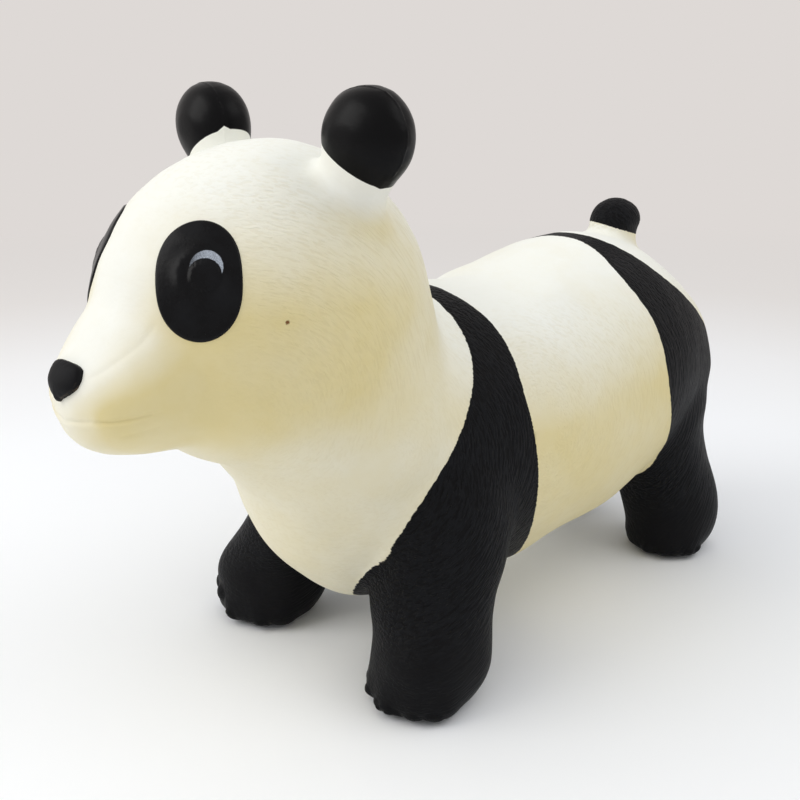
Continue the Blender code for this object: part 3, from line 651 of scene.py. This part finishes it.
def edge_at(table, heights):
    """Place along the body of a paint edge at the given heights."""
    z, y = np.array(sorted(table)).T
    slopes = np.gradient(y, z)
    row = np.clip(np.searchsorted(z, heights) - 1, 0, len(z) - 2)
    step = z[row + 1] - z[row]
    share = np.clip((heights - z[row]) / step, 0, 1)
    rest = 1 - share
    ends = rest ** 2 * (1 + 2 * share) * y[row] + share ** 2 * (3 - 2 * share) * y[row + 1]
    return ends + share * rest * step * (rest * slopes[row] - share * slopes[row + 1])


def painted(points):
    """Signed distance inside the black paint of the body, positive on black."""
    x, y, z = folded(points).T
    fore = np.minimum(y - edge_at(FORE_FRONT_EDGE, z), edge_at(FORE_BACK_EDGE, z) - y) * EDGE_SLANT
    rear = np.minimum(y - edge_at(REAR_FRONT_EDGE, z), edge_at(REAR_BACK_EDGE, z) - y) * EDGE_SLANT
    drop = CHEST_BLACK_TOP - z
    inner = CHEST_EDGE[0] - CHEST_EDGE[1] * drop
    chest = np.minimum((x - inner) / math.hypot(1.0, CHEST_EDGE[1]), np.minimum(drop, CHEST_EDGE_Y - y))
    reach = np.interp(z, FOOT_BLACK_Z, FOOT_BLACK_REACH)
    black = []
    for place, band in (("front", np.maximum(fore, chest)), ("rear", rear)):
        off_strip = np.maximum(x - BELLY_EDGE_X[place], z - BELLY_EDGE_Z)
        band = np.minimum(band, np.maximum(off_strip, y - BELLY_EDGE_Y))
        foot_x, foot_y = FEET[place]
        leg = np.minimum(reach - np.hypot(x - foot_x, y - foot_y), FOOT_BLACK_TOP - z)
        black.append(np.maximum(band, leg))
    return np.maximum(*black)


def sloping_edge(x, y, place, fall):
    """Height of a sloping paint edge."""
    return place[2] - fall[0] * (x - place[0]) - fall[1] * (y - place[1])


def ear_paint(points):
    """Signed distance inside the ears' black."""
    x, y, z = folded(points).T
    notch = np.where(x < EAR_CENTRE[0], EAR_NOTCH_INNER, EAR_NOTCH_OUTER)
    edge = sloping_edge(x, y, EAR_BLACK_PLACE, EAR_BLACK_FALL)
    edge = edge + notch * np.clip(1 - np.abs(off_seam(points)) / EAR_NOTCH_HALF, 0, 1)
    return np.where(off_ear(points) < EAR_BLACK_REACH, (z - edge) * EDGE_SLANT, -1.0)


def tail_paint(points):
    """Signed distance inside the tail's black."""
    near = np.linalg.norm(points - TAIL_CENTRE, axis=1) < TAIL_CUT_REACH
    edge = sloping_edge(points[:, 0], points[:, 1], TAIL_BLACK_PLACE, TAIL_BLACK_FALL)
    return np.where(near, points[:, 2] - edge, -1.0)


def whirl(points, name):
    """Coordinates across, along and through the moulded hair round one centre, and where they are sound."""
    centre_y, centre_z, jump = WHIRLS[name]
    y, z = points[:, 1] - centre_y, points[:, 2] - centre_z
    turn = (np.arctan2(z, y) - jump) % (2 * math.pi)
    away = np.hypot(y, z)
    sound = smoothstep(0.02, 0.20, np.minimum(turn, 2 * math.pi - turn)) * smoothstep(0.006, 0.030, away)
    return np.stack([away, turn * HAIR_RADIUS, np.abs(points[:, 0]) + 0.5], axis=1), sound


def hair(skin, points, paint):
    """Keeps the hair's coordinates, the share of each whirl and the hair's depth, 0 to 1, on the skin."""
    y, z = points[:, 1], points[:, 2]
    along = (NAPE - THROAT).normalized()
    ahead = (points - np.array(NAPE)) @ np.array((0.0, -along.z, along.y))
    head = smoothstep(-0.012, 0.012, ahead)
    fore = (1 - head) * smoothstep(0.010, -0.010, y - edge_at(FORE_BACK_EDGE, z))
    shares = np.stack([head, fore, 1 - head - fore], axis=1)
    sound = np.zeros(len(points))
    for number, name in enumerate(WHIRLS):
        places, clear = whirl(points, name)
        put(skin, f"hair_{name}", places)
        sound += shares[:, number] * clear
    black = smoothstep(-0.001, 0.001, paint)
    on_head = (0.08 + 0.62 * smoothstep(*MUZZLE_HAIR_Y, y)) * (1 - 0.5 * smoothstep(*CROWN_HAIR_Z, z))
    on_head *= 0.55 + 0.45 * smoothstep(*JAW_HAIR_Z, z)
    on_fore = 0.35 + 1.05 * black
    on_flank = (0.55 - 0.47 * smoothstep(*BACK_HAIR_Z, z)) * (1 - black) + 1.4 * black
    tail = np.linalg.norm(points - TAIL_CENTRE, axis=1) < TAIL_HAIR_REACH
    depth = (shares * np.stack([on_head, on_fore, on_flank], axis=1)).sum(1)
    depth = np.where(tail, 0.2 + 1.6 * smoothstep(*TAIL_BALL_Z, z), depth)
    put(skin, "hair_share", shares)
    return depth * sound * (0.25 + 0.75 * smoothstep(*FOOT_HAIR_Z, z))


class Graph:
    """Node tree of a material or of the world, built one node at a time."""

    def __init__(self, owner, shader="Principled BSDF"):
        owner.use_nodes = True
        self.owner = owner
        self.tree = owner.node_tree
        self.shader = self.tree.nodes[shader]

    def node(self, kind, inputs=None, **settings):
        """Adds a node, sets its properties and links or sets its inputs."""
        made = self.tree.nodes.new(kind)
        for key, value in settings.items():
            setattr(made, key, value)
        for key, value in (inputs or {}).items():
            self.feed(made.inputs[key], value)
        return made

    def feed(self, socket, value):
        """Links a socket, or sets its value."""
        if isinstance(value, bpy.types.NodeSocket):
            self.tree.links.new(value, socket)
        elif isinstance(value, bpy.types.Node):
            self.tree.links.new(value.outputs[0], socket)
        else:
            socket.default_value = value

    def read(self, name, output="Fac"):
        """A vertex attribute."""
        return self.node("ShaderNodeAttribute", attribute_name=name).outputs[output]

    def math(self, operation, first, second=0.0, third=0.0):
        """A math node's result."""
        made = self.node("ShaderNodeMath", operation=operation)
        for socket, value in zip(made.inputs, (first, second, third)):
            self.feed(socket, value)
        return made.outputs[0]

    def mix(self, share, first, second):
        """A colour mix."""
        made = self.node("ShaderNodeMix", data_type="RGBA")
        self.feed(made.inputs[0], share)
        self.feed(made.inputs[6], first)
        self.feed(made.inputs[7], second)
        return made.outputs[2]

    def noise(self, vector, scale, detail=2.0, roughness=0.5, distortion=0.0):
        """Noise, 0 to 1 around 0.5."""
        made = self.node("ShaderNodeTexNoise", {
            "Vector": vector, "Scale": scale, "Detail": detail, "Roughness": roughness,
            "Distortion": distortion,
        })
        return made.outputs["Fac"]

    def stretch(self, vector, scale):
        """A vector scaled along its axes."""
        return self.node("ShaderNodeMapping", {"Vector": vector, "Scale": scale}).outputs[0]

    def fit(self, value, low, high, start=0.0, end=1.0):
        """Maps a range onto another, clamped."""
        return self.node("ShaderNodeMapRange", {0: value, 1: low, 2: high, 3: start, 4: end}).outputs[0]

    def cover(self, share, colour):
        """Lays a colour over the base colour."""
        base = self.shader.inputs["Base Color"]
        self.feed(base, self.mix(share, base.links[0].from_socket, colour))


def linear(*screen):
    """A colour written as on a screen, 0 to 255, for a shader."""
    shares = [value / 255 for value in screen]
    made = [((share + 0.055) / 1.055) ** 2.4 if share > 0.04 else share / 12.92 for share in shares]
    return (*made, 1.0)


CREAM = linear(247, 247, 239)
# Yellower cream painted as shade on the sides and underneath; the valve collar's random clouding uses it too
CREAM_PAINTED_SHADE_AND_CLOUD = linear(230, 215, 161)
# Darker cream painted as shade in the hair's grooves
CREAM_GROOVE_SHADE = linear(206, 190, 140)
DIRT = linear(122, 84, 52)
NOSE_WORN = linear(84, 72, 58)
GLEAM_COLOUR = linear(178, 186, 198)
PLUG_WHITE = linear(236, 236, 232)
PLUG_SHADE = linear(222, 221, 214)
BLACK = linear(12, 12, 14)
# Lighter black: a painted highlight on the raised hair of the skin, and dust on the glossy black
BLACK_SHEEN_AND_DUST = linear(19, 20, 23)
GLOSS_BLACK = linear(10, 10, 12)
SKIN_SPECULAR = 0.10
FLOOR_SPECULAR = 0.13
FLOOR_NEAR = linear(248, 249, 251)
FLOOR_FAR = linear(236, 232, 229)
SKY_COLOUR = (0.98, 0.99, 1.0, 1.0)
SKY_LEVELS = (0.20, 1.08)
SEEN_COLOUR = linear(222, 217, 214)
FADE_OUT = (1.0, 2.4)
BLACK_RIDGES = 1.7
KEY_PLACE = (-0.9, -1.65, 1.45)
KEY_POWER = 19.0
FILL_PLACE = (1.2, 0.8, 1.7)
FILL_POWER = 7.0
GLOSS_SPECULAR = 0.12
DIRT_SPOT = (0.0959, -0.2305, 0.3152)
DIRT_RADIUS = 0.0012
# Even share of painted shade held on the chest
CHEST_PAINTED_SHADE = 0.50
FACING_ROUNDS = 60
EAR_RELIEF = 0.03


def skin_material():
    """Cream and black paint over a skin with moulded hair."""
    graph = Graph(bpy.data.materials.new("moulded_skin"))
    shares = graph.node("ShaderNodeSeparateXYZ", {0: graph.read("hair_share", "Vector")}).outputs
    height = 0.0
    for number, name in enumerate(WHIRLS):
        lines = graph.stretch(graph.read(f"hair_{name}", "Vector"), HAIR_SCALE)
        stroke = graph.noise(lines, 1.0, 1.0, 0.5, 0.35)
        height = graph.math("MULTIPLY_ADD", stroke, shares[number], height)
    relief = graph.read("relief")
    height = graph.fit(height, 0.36, 0.64)
    fray = graph.fit(relief, 0.05, 0.30, 0.0001, 0.0006)
    ragged = graph.math("MULTIPLY", graph.math("SUBTRACT", height, 0.5), fray)
    paint = graph.math("ADD", ragged, graph.read("paint"))
    black = graph.fit(paint, -0.0002, 0.0002)
    smooth_black = graph.read("gloss")
    place = graph.read("place", "Vector")
    cloud = graph.fit(graph.noise(place, 14.0, 4.0, 0.6), 0.3, 0.7, -0.12, 0.12)
    # Painted shade: the cream is mixed towards a yellower tone by the side attribute, plus random clouding
    painted_shade = graph.math("ADD", graph.read("side"), cloud)
    cream = graph.mix(graph.fit(painted_shade, 0.0, 1.0), CREAM, CREAM_PAINTED_SHADE_AND_CLOUD)
    # Painted shade: the cream is darker in the hair's grooves
    groove = graph.math("MULTIPLY", graph.fit(height, 0.45, 0.0), relief)
    cream = graph.mix(graph.math("MULTIPLY", groove, 0.22), cream, CREAM_GROOVE_SHADE)
    away = graph.node("ShaderNodeVectorMath", {0: place, 1: DIRT_SPOT}, operation="DISTANCE").outputs["Value"]
    away = graph.math("MULTIPLY_ADD", graph.noise(place, 700.0, 2.0), 0.0018, away)
    cream = graph.mix(graph.fit(away, DIRT_RADIUS + 0.0014, DIRT_RADIUS + 0.0006), cream, DIRT)
    # Painted highlight: the raised hair on the black is lighter
    dark = graph.mix(graph.math("MULTIPLY", height, relief), BLACK, BLACK_SHEEN_AND_DUST)
    dark = graph.mix(smooth_black, dark, GLOSS_BLACK)
    rough_black = graph.math("MULTIPLY_ADD", smooth_black, -0.20, 0.52)
    rough = graph.node("ShaderNodeMix", {0: black, 2: 0.50, 3: rough_black}, data_type="FLOAT").outputs[0]
    grain = graph.noise(place, 900.0, 2.0)
    ridges = graph.math("MULTIPLY", height, relief)
    ridges = graph.math("MULTIPLY", ridges, graph.fit(black, 0.0, 1.0, 1.0, BLACK_RIDGES))
    surface = graph.math("MULTIPLY_ADD", grain, 0.06, ridges)
    bump = graph.node("ShaderNodeBump", {"Height": surface, "Strength": 0.8, "Distance": 0.0005})
    graph.feed(graph.shader.inputs["Base Color"], graph.mix(black, cream, dark))
    graph.feed(graph.shader.inputs["Roughness"], rough)
    graph.feed(graph.shader.inputs["Normal"], bump)
    graph.shader.inputs["Specular IOR Level"].default_value = SKIN_SPECULAR
    return graph.owner


def gloss_material(name, base, roughness):
    """Glossy black paint with a faint orange peel and dust."""
    graph = Graph(bpy.data.materials.new(name))
    place = graph.read("place", "Vector")
    cloud = graph.fit(graph.noise(place, 60.0, 4.0, 0.6), 0.35, 0.75)
    graph.feed(graph.shader.inputs["Base Color"], graph.mix(cloud, base, BLACK_SHEEN_AND_DUST))
    graph.feed(graph.shader.inputs["Roughness"], graph.fit(cloud, 0.0, 1.0, roughness, roughness + 0.12))
    peel = graph.noise(place, 420.0, 2.0)
    bump = graph.node("ShaderNodeBump", {"Height": peel, "Strength": 0.35, "Distance": 0.0002})
    graph.feed(graph.shader.inputs["Normal"], bump)
    graph.shader.inputs["Specular IOR Level"].default_value = GLOSS_SPECULAR
    return graph


def eye_material():
    """Glossy black patch with the painted gleam over the pupil."""
    graph = gloss_material("eye_gloss", GLOSS_BLACK, 0.24)
    inside = graph.math("MINIMUM", graph.read("gleam"), graph.read("off_pupil"))
    brush = graph.noise(graph.read("place", "Vector"), 900.0, 3.0)
    inside = graph.math("MULTIPLY_ADD", graph.math("SUBTRACT", brush, 0.5), 0.0006, inside)
    mark = graph.math("MULTIPLY", graph.fit(inside, -0.0001, 0.0002), graph.read("gleam_tone"))
    patchy = graph.fit(graph.noise(graph.read("place", "Vector"), 1500.0), 0.38, 0.58, 0.6, 1.0)
    graph.cover(graph.math("MULTIPLY", mark, patchy), GLEAM_COLOUR)
    return graph.owner


def radius_at(outline, angles):
    """Radius of an outline given as a function or as rows of (degrees, radius) mirrored about the upright."""
    if callable(outline):
        return outline(angles)
    rows = np.array(outline)
    from_level = np.degrees(np.arcsin(np.clip(np.sin(angles), -1, 1)))
    return np.interp(from_level, rows[:, 0], rows[:, 1])


def shell(name, tree, centre, normal, outline, height, rings=30, spokes=112):
    """A raised closed patch over the skin, height(u, v, share) above it, with share 1 at the rim."""
    centre, normal = Vector(centre), Vector(normal).normalized()
    level = Vector((0.0, 0.0, 1.0)).cross(normal).normalized()
    upward = normal.cross(level)
    angles = np.linspace(0, 2 * math.pi, spokes, endpoint=False)
    shares = np.sin(np.linspace(0, math.pi / 2, rings + 1))[1:]
    radii = radius_at(outline, angles)
    flat = [(0.0, 0.0, 0.0)]
    for share in shares:
        for angle, radius in zip(angles, radii):
            flat.append((radius * share * math.cos(angle), radius * share * math.sin(angle), share))
    verts, places = [], []
    for u, v, share in flat:
        start = centre + level * u + upward * v
        hit, skin_normal, _, _ = tree.ray_cast(start + normal * CAST_START, -normal)
        if hit is None:
            hit, skin_normal, _, _ = tree.find_nearest(start)
        verts.append(hit + skin_normal * height(u, v, share))
        places.append((u, v, share))
    last = 1 + (rings - 1) * spokes
    under = len(verts)
    verts += [verts[last + k] - normal * PATCH_SKIRT for k in range(spokes)]
    verts.append(Vector(verts[0]) - normal * PATCH_SINK)
    faces = [(0, 1 + k, 1 + (k + 1) % spokes) for k in range(spokes)]
    for ring in range(rings - 1):
        base = 1 + ring * spokes
        for k in range(spokes):
            step = (k + 1) % spokes
            faces.append((base + k, base + spokes + k, base + spokes + step, base + step))
    for k in range(spokes):
        step = (k + 1) % spokes
        faces.append((last + k, under + k, under + step, last + step))
        faces.append((under + k, under + spokes, under + step))
    mesh = bpy.data.meshes.new(name)
    mesh.from_pydata([tuple(vert) for vert in verts], [], faces)
    shade_smooth(mesh)
    mesh.update()
    places = np.array(places + [(0.0, 0.0, 1.0)] * (len(verts) - len(places)))
    return mesh, places


def rim(share, rise, sunk=0.0008, width=0.07):
    """Height of a raised patch with a rounded rim."""
    inner = min(max((1 - share) / width, 0.0), 1.0)
    return (rise + sunk) * math.sqrt(1 - (1 - inner) ** 2) - sunk


def make_eye(hand, side, tree):
    """Raised eye patch with a pupil boss and its painted gleam."""
    def height(u, v, share):
        away = math.hypot(side * u - PUPIL_PLACE[0], v - PUPIL_PLACE[1])
        boss = min(max((PUPIL_RADIUS - away) / PUPIL_EDGE, 0.0), 1.0)
        groove = math.exp(-((away - PUPIL_RADIUS - GROOVE_OFF) / GROOVE_HALF) ** 2)
        dome = 1 + PUPIL_DOME * max(0.0, 1 - (away / PUPIL_RADIUS) ** 2)
        boss_rise = PUPIL_RISE * dome * math.sqrt(1 - (1 - boss) ** 2)
        return rim(share, EYE_RISE) + boss_rise - GROOVE_DEPTH * groove

    def outline(angles):
        swing = (EYE_HALF_HEIGHT - EYE_HALF_WIDTH) / 2
        return (EYE_HALF_HEIGHT + EYE_HALF_WIDTH) / 2 - swing * np.cos(2 * (angles - side * EYE_LEAN))

    centre, normal, level, upward = eye_plane(side)
    if side < 0:
        centre = centre + level * FAR_EYE_SHIFT[0] + upward * FAR_EYE_SHIFT[1]
    mesh, places = shell(f"eye_patch_{hand}", tree, centre, normal, outline, height)
    u, v = side * places[:, 0], places[:, 1]
    off_pupil = np.hypot(u - PUPIL_PLACE[0], v - PUPIL_PLACE[1]) - PUPIL_RADIUS
    put(mesh, "off_pupil", off_pupil - GLEAM_GAP)
    put(mesh, "gleam", GLEAM_RADIUS - np.hypot(u - GLEAM_PLACE[0], v - GLEAM_PLACE[1]))
    put(mesh, "gleam_tone", smoothstep(-0.011, 0.006, u) * smoothstep(-0.001, 0.002, v - PUPIL_PLACE[1]))
    put(mesh, "place", mesh_arrays(mesh)[0])
    mesh.materials.append(bpy.data.materials.get("eye_gloss") or eye_material())
    obj = link(bpy.data.objects.new(f"eye_patch_{hand}_raised", mesh))
    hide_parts(f"eye_patch_{hand}")
    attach(obj, "body")


def make_nose(tree):
    """Raised black nose on the tip of the muzzle."""
    def height(u, v, share):
        return rim(share, NOSE_RIM, width=0.14) + NOSE_RISE * max(0.0, 1 - share ** 3)

    mesh, places = shell("nose", tree, NOSE_CENTRE, NOSE_NORMAL, NOSE_OUTLINE, height, rings=22, spokes=72)
    put(mesh, "place", mesh_arrays(mesh)[0])
    put(mesh, "worn", smoothstep(0.90, 0.99, places[:, 2]) * (places[:, 1] < 0.001))
    graph = gloss_material("nose_matte", BLACK, 0.50)
    patchy = graph.fit(graph.noise(graph.read("place", "Vector"), 260.0), 0.5, 0.62)
    graph.cover(graph.math("MULTIPLY", graph.read("worn"), patchy), NOSE_WORN)
    mesh.materials.append(graph.owner)
    obj = link(bpy.data.objects.new("nose_raised", mesh))
    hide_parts("nose")
    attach(obj, "body")


def plug_profile():
    """The plug's profile: its tip, the sealing rings along its shank, and its head."""
    rings = []
    for height, shank, ring in PLUG_RINGS:
        rings += [(shank, height + PLUG_RING_HALF), (ring, height), (shank, height - PLUG_RING_HALF)]
    return [*PLUG_TIP, *rings, *PLUG_HEAD]


def add_tab(bm, top):
    """The plug's finger tab, which hangs from its head and has rounded lower corners."""
    half_x, half_y, length = PLUG_TAB
    tab = bmesh.ops.create_cube(bm, size=1.0)["verts"]
    for vert in tab:
        height = top - (0.5 - vert.co.z) * (length + TAB_SINK)
        vert.co = (vert.co.x * 2 * half_x, vert.co.y * 2 * half_y, height)
    corners = []
    for edge in {edge for vert in tab for edge in vert.link_edges}:
        start, end = (vert.co for vert in edge.verts)
        if max(start.z, end.z) < top - length / 2 and abs(start.y - end.y) > half_y:
            corners.append(edge)
    bmesh.ops.bevel(bm, geom=corners, offset=TAB_CORNER, segments=6, profile=0.5, affect="EDGES")


def turned(name, profile, material, body):
    """A rounded turned piece of the valve in place of its CAD node."""
    bm = bmesh.new()
    rings = []
    for radius, height in profile:
        if radius == 0:
            rings.append([bm.verts.new((0.0, 0.0, height))] * VALVE_SIDES)
            continue
        turns = [2 * math.pi * k / VALVE_SIDES for k in range(VALVE_SIDES)]
        places = [(radius * math.cos(turn), radius * math.sin(turn), height) for turn in turns]
        rings.append([bm.verts.new(place) for place in places])
    loops = list(zip(rings, rings[1:]))
    if profile[0][0] > 0:
        loops.append((rings[-1], rings[0]))
    for upper, lower in loops:
        for k in range(VALVE_SIDES):
            step = (k + 1) % VALVE_SIDES
            corners = []
            for vert in (upper[k], upper[step], lower[step], lower[k]):
                if vert not in corners:
                    corners.append(vert)
            bm.faces.new(corners[::-1])
    if name == "valve_plug":
        add_tab(bm, profile[-1][1] + TAB_SINK)
    bmesh.ops.recalc_face_normals(bm, faces=bm.faces)
    sharp = [edge for edge in bm.edges if len(edge.link_faces) == 2 and edge.calc_face_angle() > 0.6]
    bmesh.ops.bevel(
        bm, geom=sharp, offset=VALVE_ROUNDING, segments=3, profile=0.5, affect="EDGES", clamp_overlap=True
    )
    mesh = bpy.data.meshes.new(name)
    bm.to_mesh(mesh)
    bm.free()
    points, _ = mesh_arrays(mesh)
    set_points(mesh, points + VALVE_PLACE)
    shade_smooth(mesh)
    put(mesh, "place", points)
    mesh.materials.append(material)
    obj = link(bpy.data.objects.new(f"{name}_moulded", mesh))
    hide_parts(name)
    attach(obj, body)


def plastic_material(name, base, shade, roughness):
    """Pale moulded plastic with faint clouding and grain."""
    graph = Graph(bpy.data.materials.new(name))
    place = graph.read("place", "Vector")
    cloud = graph.fit(graph.noise(place, 220.0, 4.0, 0.6), 0.3, 0.7)
    graph.feed(graph.shader.inputs["Base Color"], graph.mix(cloud, base, shade))
    graph.feed(graph.shader.inputs["Roughness"], graph.fit(cloud, 0.0, 1.0, roughness, roughness + 0.1))
    grain = graph.noise(place, 1500.0)
    bump = graph.node("ShaderNodeBump", {"Height": grain, "Strength": 0.3, "Distance": 0.0001})
    graph.feed(graph.shader.inputs["Normal"], bump)
    return graph.owner


def make_valve():
    """Belly valve: the moulded collar and its stopper."""
    cream = plastic_material("valve_cream", CREAM, CREAM_PAINTED_SHADE_AND_CLOUD, 0.5)
    white = plastic_material("valve_white", PLUG_WHITE, PLUG_SHADE, 0.38)
    turned("valve_collar", COLLAR_PROFILE, cream, "body")
    turned("valve_plug", plug_profile(), white, "valve_plug")


def make_camera():
    """The camera at the photograph's viewing angle."""
    across, ahead = math.sin(CAMERA_AZIMUTH), math.cos(CAMERA_AZIMUTH)
    level = math.cos(CAMERA_ELEVATION)
    back = Vector((across * level, -ahead * level, math.sin(CAMERA_ELEVATION)))
    right = Vector((ahead, across, 0.0))
    up = back.cross(right)
    turn = Matrix((right, up, back)).transposed() @ Matrix.Rotation(CAMERA_ROLL, 3, "Z")
    camera = link(bpy.data.objects.new("camera", bpy.data.cameras.new("camera")))
    camera.data.lens = CAMERA_LENS
    camera.data.sensor_width = 36.0
    camera.matrix_world = Matrix.Translation(CAMERA_TARGET + back * CAMERA_DISTANCE) @ turn.to_4x4()
    bpy.context.scene.camera = camera


def area_light(name, place, target, size, power, colour):
    """A soft square lamp."""
    lamp = bpy.data.lights.new(name, "AREA")
    lamp.size = size
    lamp.energy = power
    lamp.color = colour
    obj = link(bpy.data.objects.new(name, lamp))
    obj.location = place
    obj.rotation_euler = (Vector(target) - Vector(place)).to_track_quat("-Z", "Y").to_euler()


def make_studio():
    """Pale floor that fades into pale surroundings, and soft light from above."""
    mesh = bpy.data.meshes.new("floor")
    mesh.from_pydata([(-4, -4, 0), (4, -4, 0), (4, 4, 0), (-4, 4, 0)], [], [(0, 1, 2, 3)])
    floor = link(bpy.data.objects.new("floor", mesh))
    graph = Graph(bpy.data.materials.new("pale_floor"))
    place = graph.node("ShaderNodeTexCoord").outputs["Object"]
    away = graph.node("ShaderNodeVectorMath", {0: place}, operation="LENGTH").outputs["Value"]
    colour = graph.mix(graph.fit(away, 0.65, 1.5), FLOOR_NEAR, FLOOR_FAR)
    graph.feed(graph.shader.inputs["Base Color"], colour)
    graph.feed(graph.shader.inputs["Roughness"], graph.fit(graph.noise(place, 40.0, 3.0), 0.3, 0.7, 0.5, 0.6))
    graph.shader.inputs["Specular IOR Level"].default_value = FLOOR_SPECULAR
    seen = graph.node("ShaderNodeLightPath").outputs["Is Camera Ray"]
    far = graph.math("MULTIPLY", graph.fit(away, *FADE_OUT), seen)
    plain = graph.node("ShaderNodeEmission", {"Color": SEEN_COLOUR})
    faded = graph.node("ShaderNodeMixShader", {0: far, 1: graph.shader.outputs[0], 2: plain})
    graph.feed(graph.tree.nodes["Material Output"].inputs["Surface"], faded)
    mesh.materials.append(graph.owner)
    world = bpy.data.worlds.new("studio")
    bpy.context.scene.world = world
    graph = Graph(world, "Background")
    place = graph.node("ShaderNodeTexCoord").outputs["Generated"]
    upward = graph.node("ShaderNodeSeparateXYZ", {0: place}).outputs["Z"]
    graph.feed(graph.shader.inputs["Color"], SKY_COLOUR)
    graph.feed(graph.shader.inputs["Strength"], graph.fit(upward, 0.0, 1.0, *SKY_LEVELS))
    rays = graph.node("ShaderNodeLightPath").outputs
    shown = graph.math("MAXIMUM", rays["Is Camera Ray"], rays["Is Glossy Ray"])
    shown = graph.math("MAXIMUM", shown, rays["Is Transmission Ray"])
    plain = graph.node("ShaderNodeBackground", {"Color": SEEN_COLOUR})
    mixed = graph.node("ShaderNodeMixShader", {0: shown, 1: graph.shader.outputs[0], 2: plain})
    graph.feed(graph.tree.nodes["World Output"].inputs["Surface"], mixed)
    area_light("key", KEY_PLACE, (0.0, 0.0, 0.2), 1.5, KEY_POWER, (1.0, 0.99, 0.97))
    area_light("fill", FILL_PLACE, (0.0, 0.0, 0.2), 1.4, FILL_POWER, (1.0, 1.0, 1.0))
    bpy.context.scene.view_settings.view_transform = "Standard"


def painted_shade_share(points, normals, edges):
    """Share of painted shade on the cream, 0 to 1: most on the sides and underneath, even on the chest."""
    facing = np.stack([np.abs(normals[:, 0]), normals[:, 2]], axis=1)
    across, upward = spread(facing, edges, FACING_ROUNDS).T
    y, z = points[:, 1], points[:, 2]
    beneath = 0.30 * smoothstep(0.40, -0.30, upward)
    painted_shade = smoothstep(0.05, 0.72, across) * smoothstep(0.95, -0.05, upward) + beneath
    painted_shade = np.clip(painted_shade, 0.0, 1.0) * (1 - 0.10 * smoothstep(-0.10, -0.02, y))
    painted_shade += (CHEST_PAINTED_SHADE - painted_shade) * smoothstep(0.265, 0.195, z) * smoothstep(-0.05, -0.10, y)
    # Less painted shade towards the back of the head
    painted_shade *= 1 - 0.40 * smoothstep(-0.20, -0.08, y) * smoothstep(0.20, 0.26, z) * smoothstep(-0.02, -0.06, y)
    return painted_shade


def dress():
    """Makes the pieces of the skin, with paint and hair; the torso and the head go on the body."""
    skin = joined_skin()
    points, edges = mesh_arrays(skin)
    normals = mesh_normals(skin)
    ears, tail = ear_paint(points), tail_paint(points)
    paint = np.maximum(np.maximum(painted(points), ears), tail)
    relief = hair(skin, points, paint)
    by_ear = smoothstep(*EAR_SMOOTH_REACH, off_ear(points))
    put(skin, "paint", paint)
    put(skin, "place", points)
    put(skin, "gloss", smoothstep(-0.002, 0.0, ears))
    put(skin, "relief", relief + by_ear * (EAR_RELIEF - relief))
    # Painted shade on the sides and underneath of the cream, kept off the ears
    put(skin, "side", painted_shade_share(points, normals, edges) * (1 - by_ear))
    material = skin_material()
    made = {}
    for name, mesh in split_skin(skin).items():
        mesh.materials.append(material)
        obj = link(bpy.data.objects.new(f"{name}_skin", mesh))
        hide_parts(name)
        made[name] = obj
    for name, point, normal, _, _ in cut_plan():
        if name.startswith("ear"):
            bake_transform(made[name])
        elif name == "tail":
            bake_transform(made[name])
        elif name.startswith("leg"):
            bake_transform(made[name])
    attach(made["torso"], "body")
    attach(made["head"], "body")
    head = made["head"].data
    places = [vert.co[:] for vert in head.vertices]
    tree = BVHTree.FromPolygons(places, [face.vertices[:] for face in head.polygons])
    for hand, side in SIDES.items():
        make_eye(hand, side, tree)
    make_nose(tree)
    make_valve()


make_camera()
make_studio()
dress()
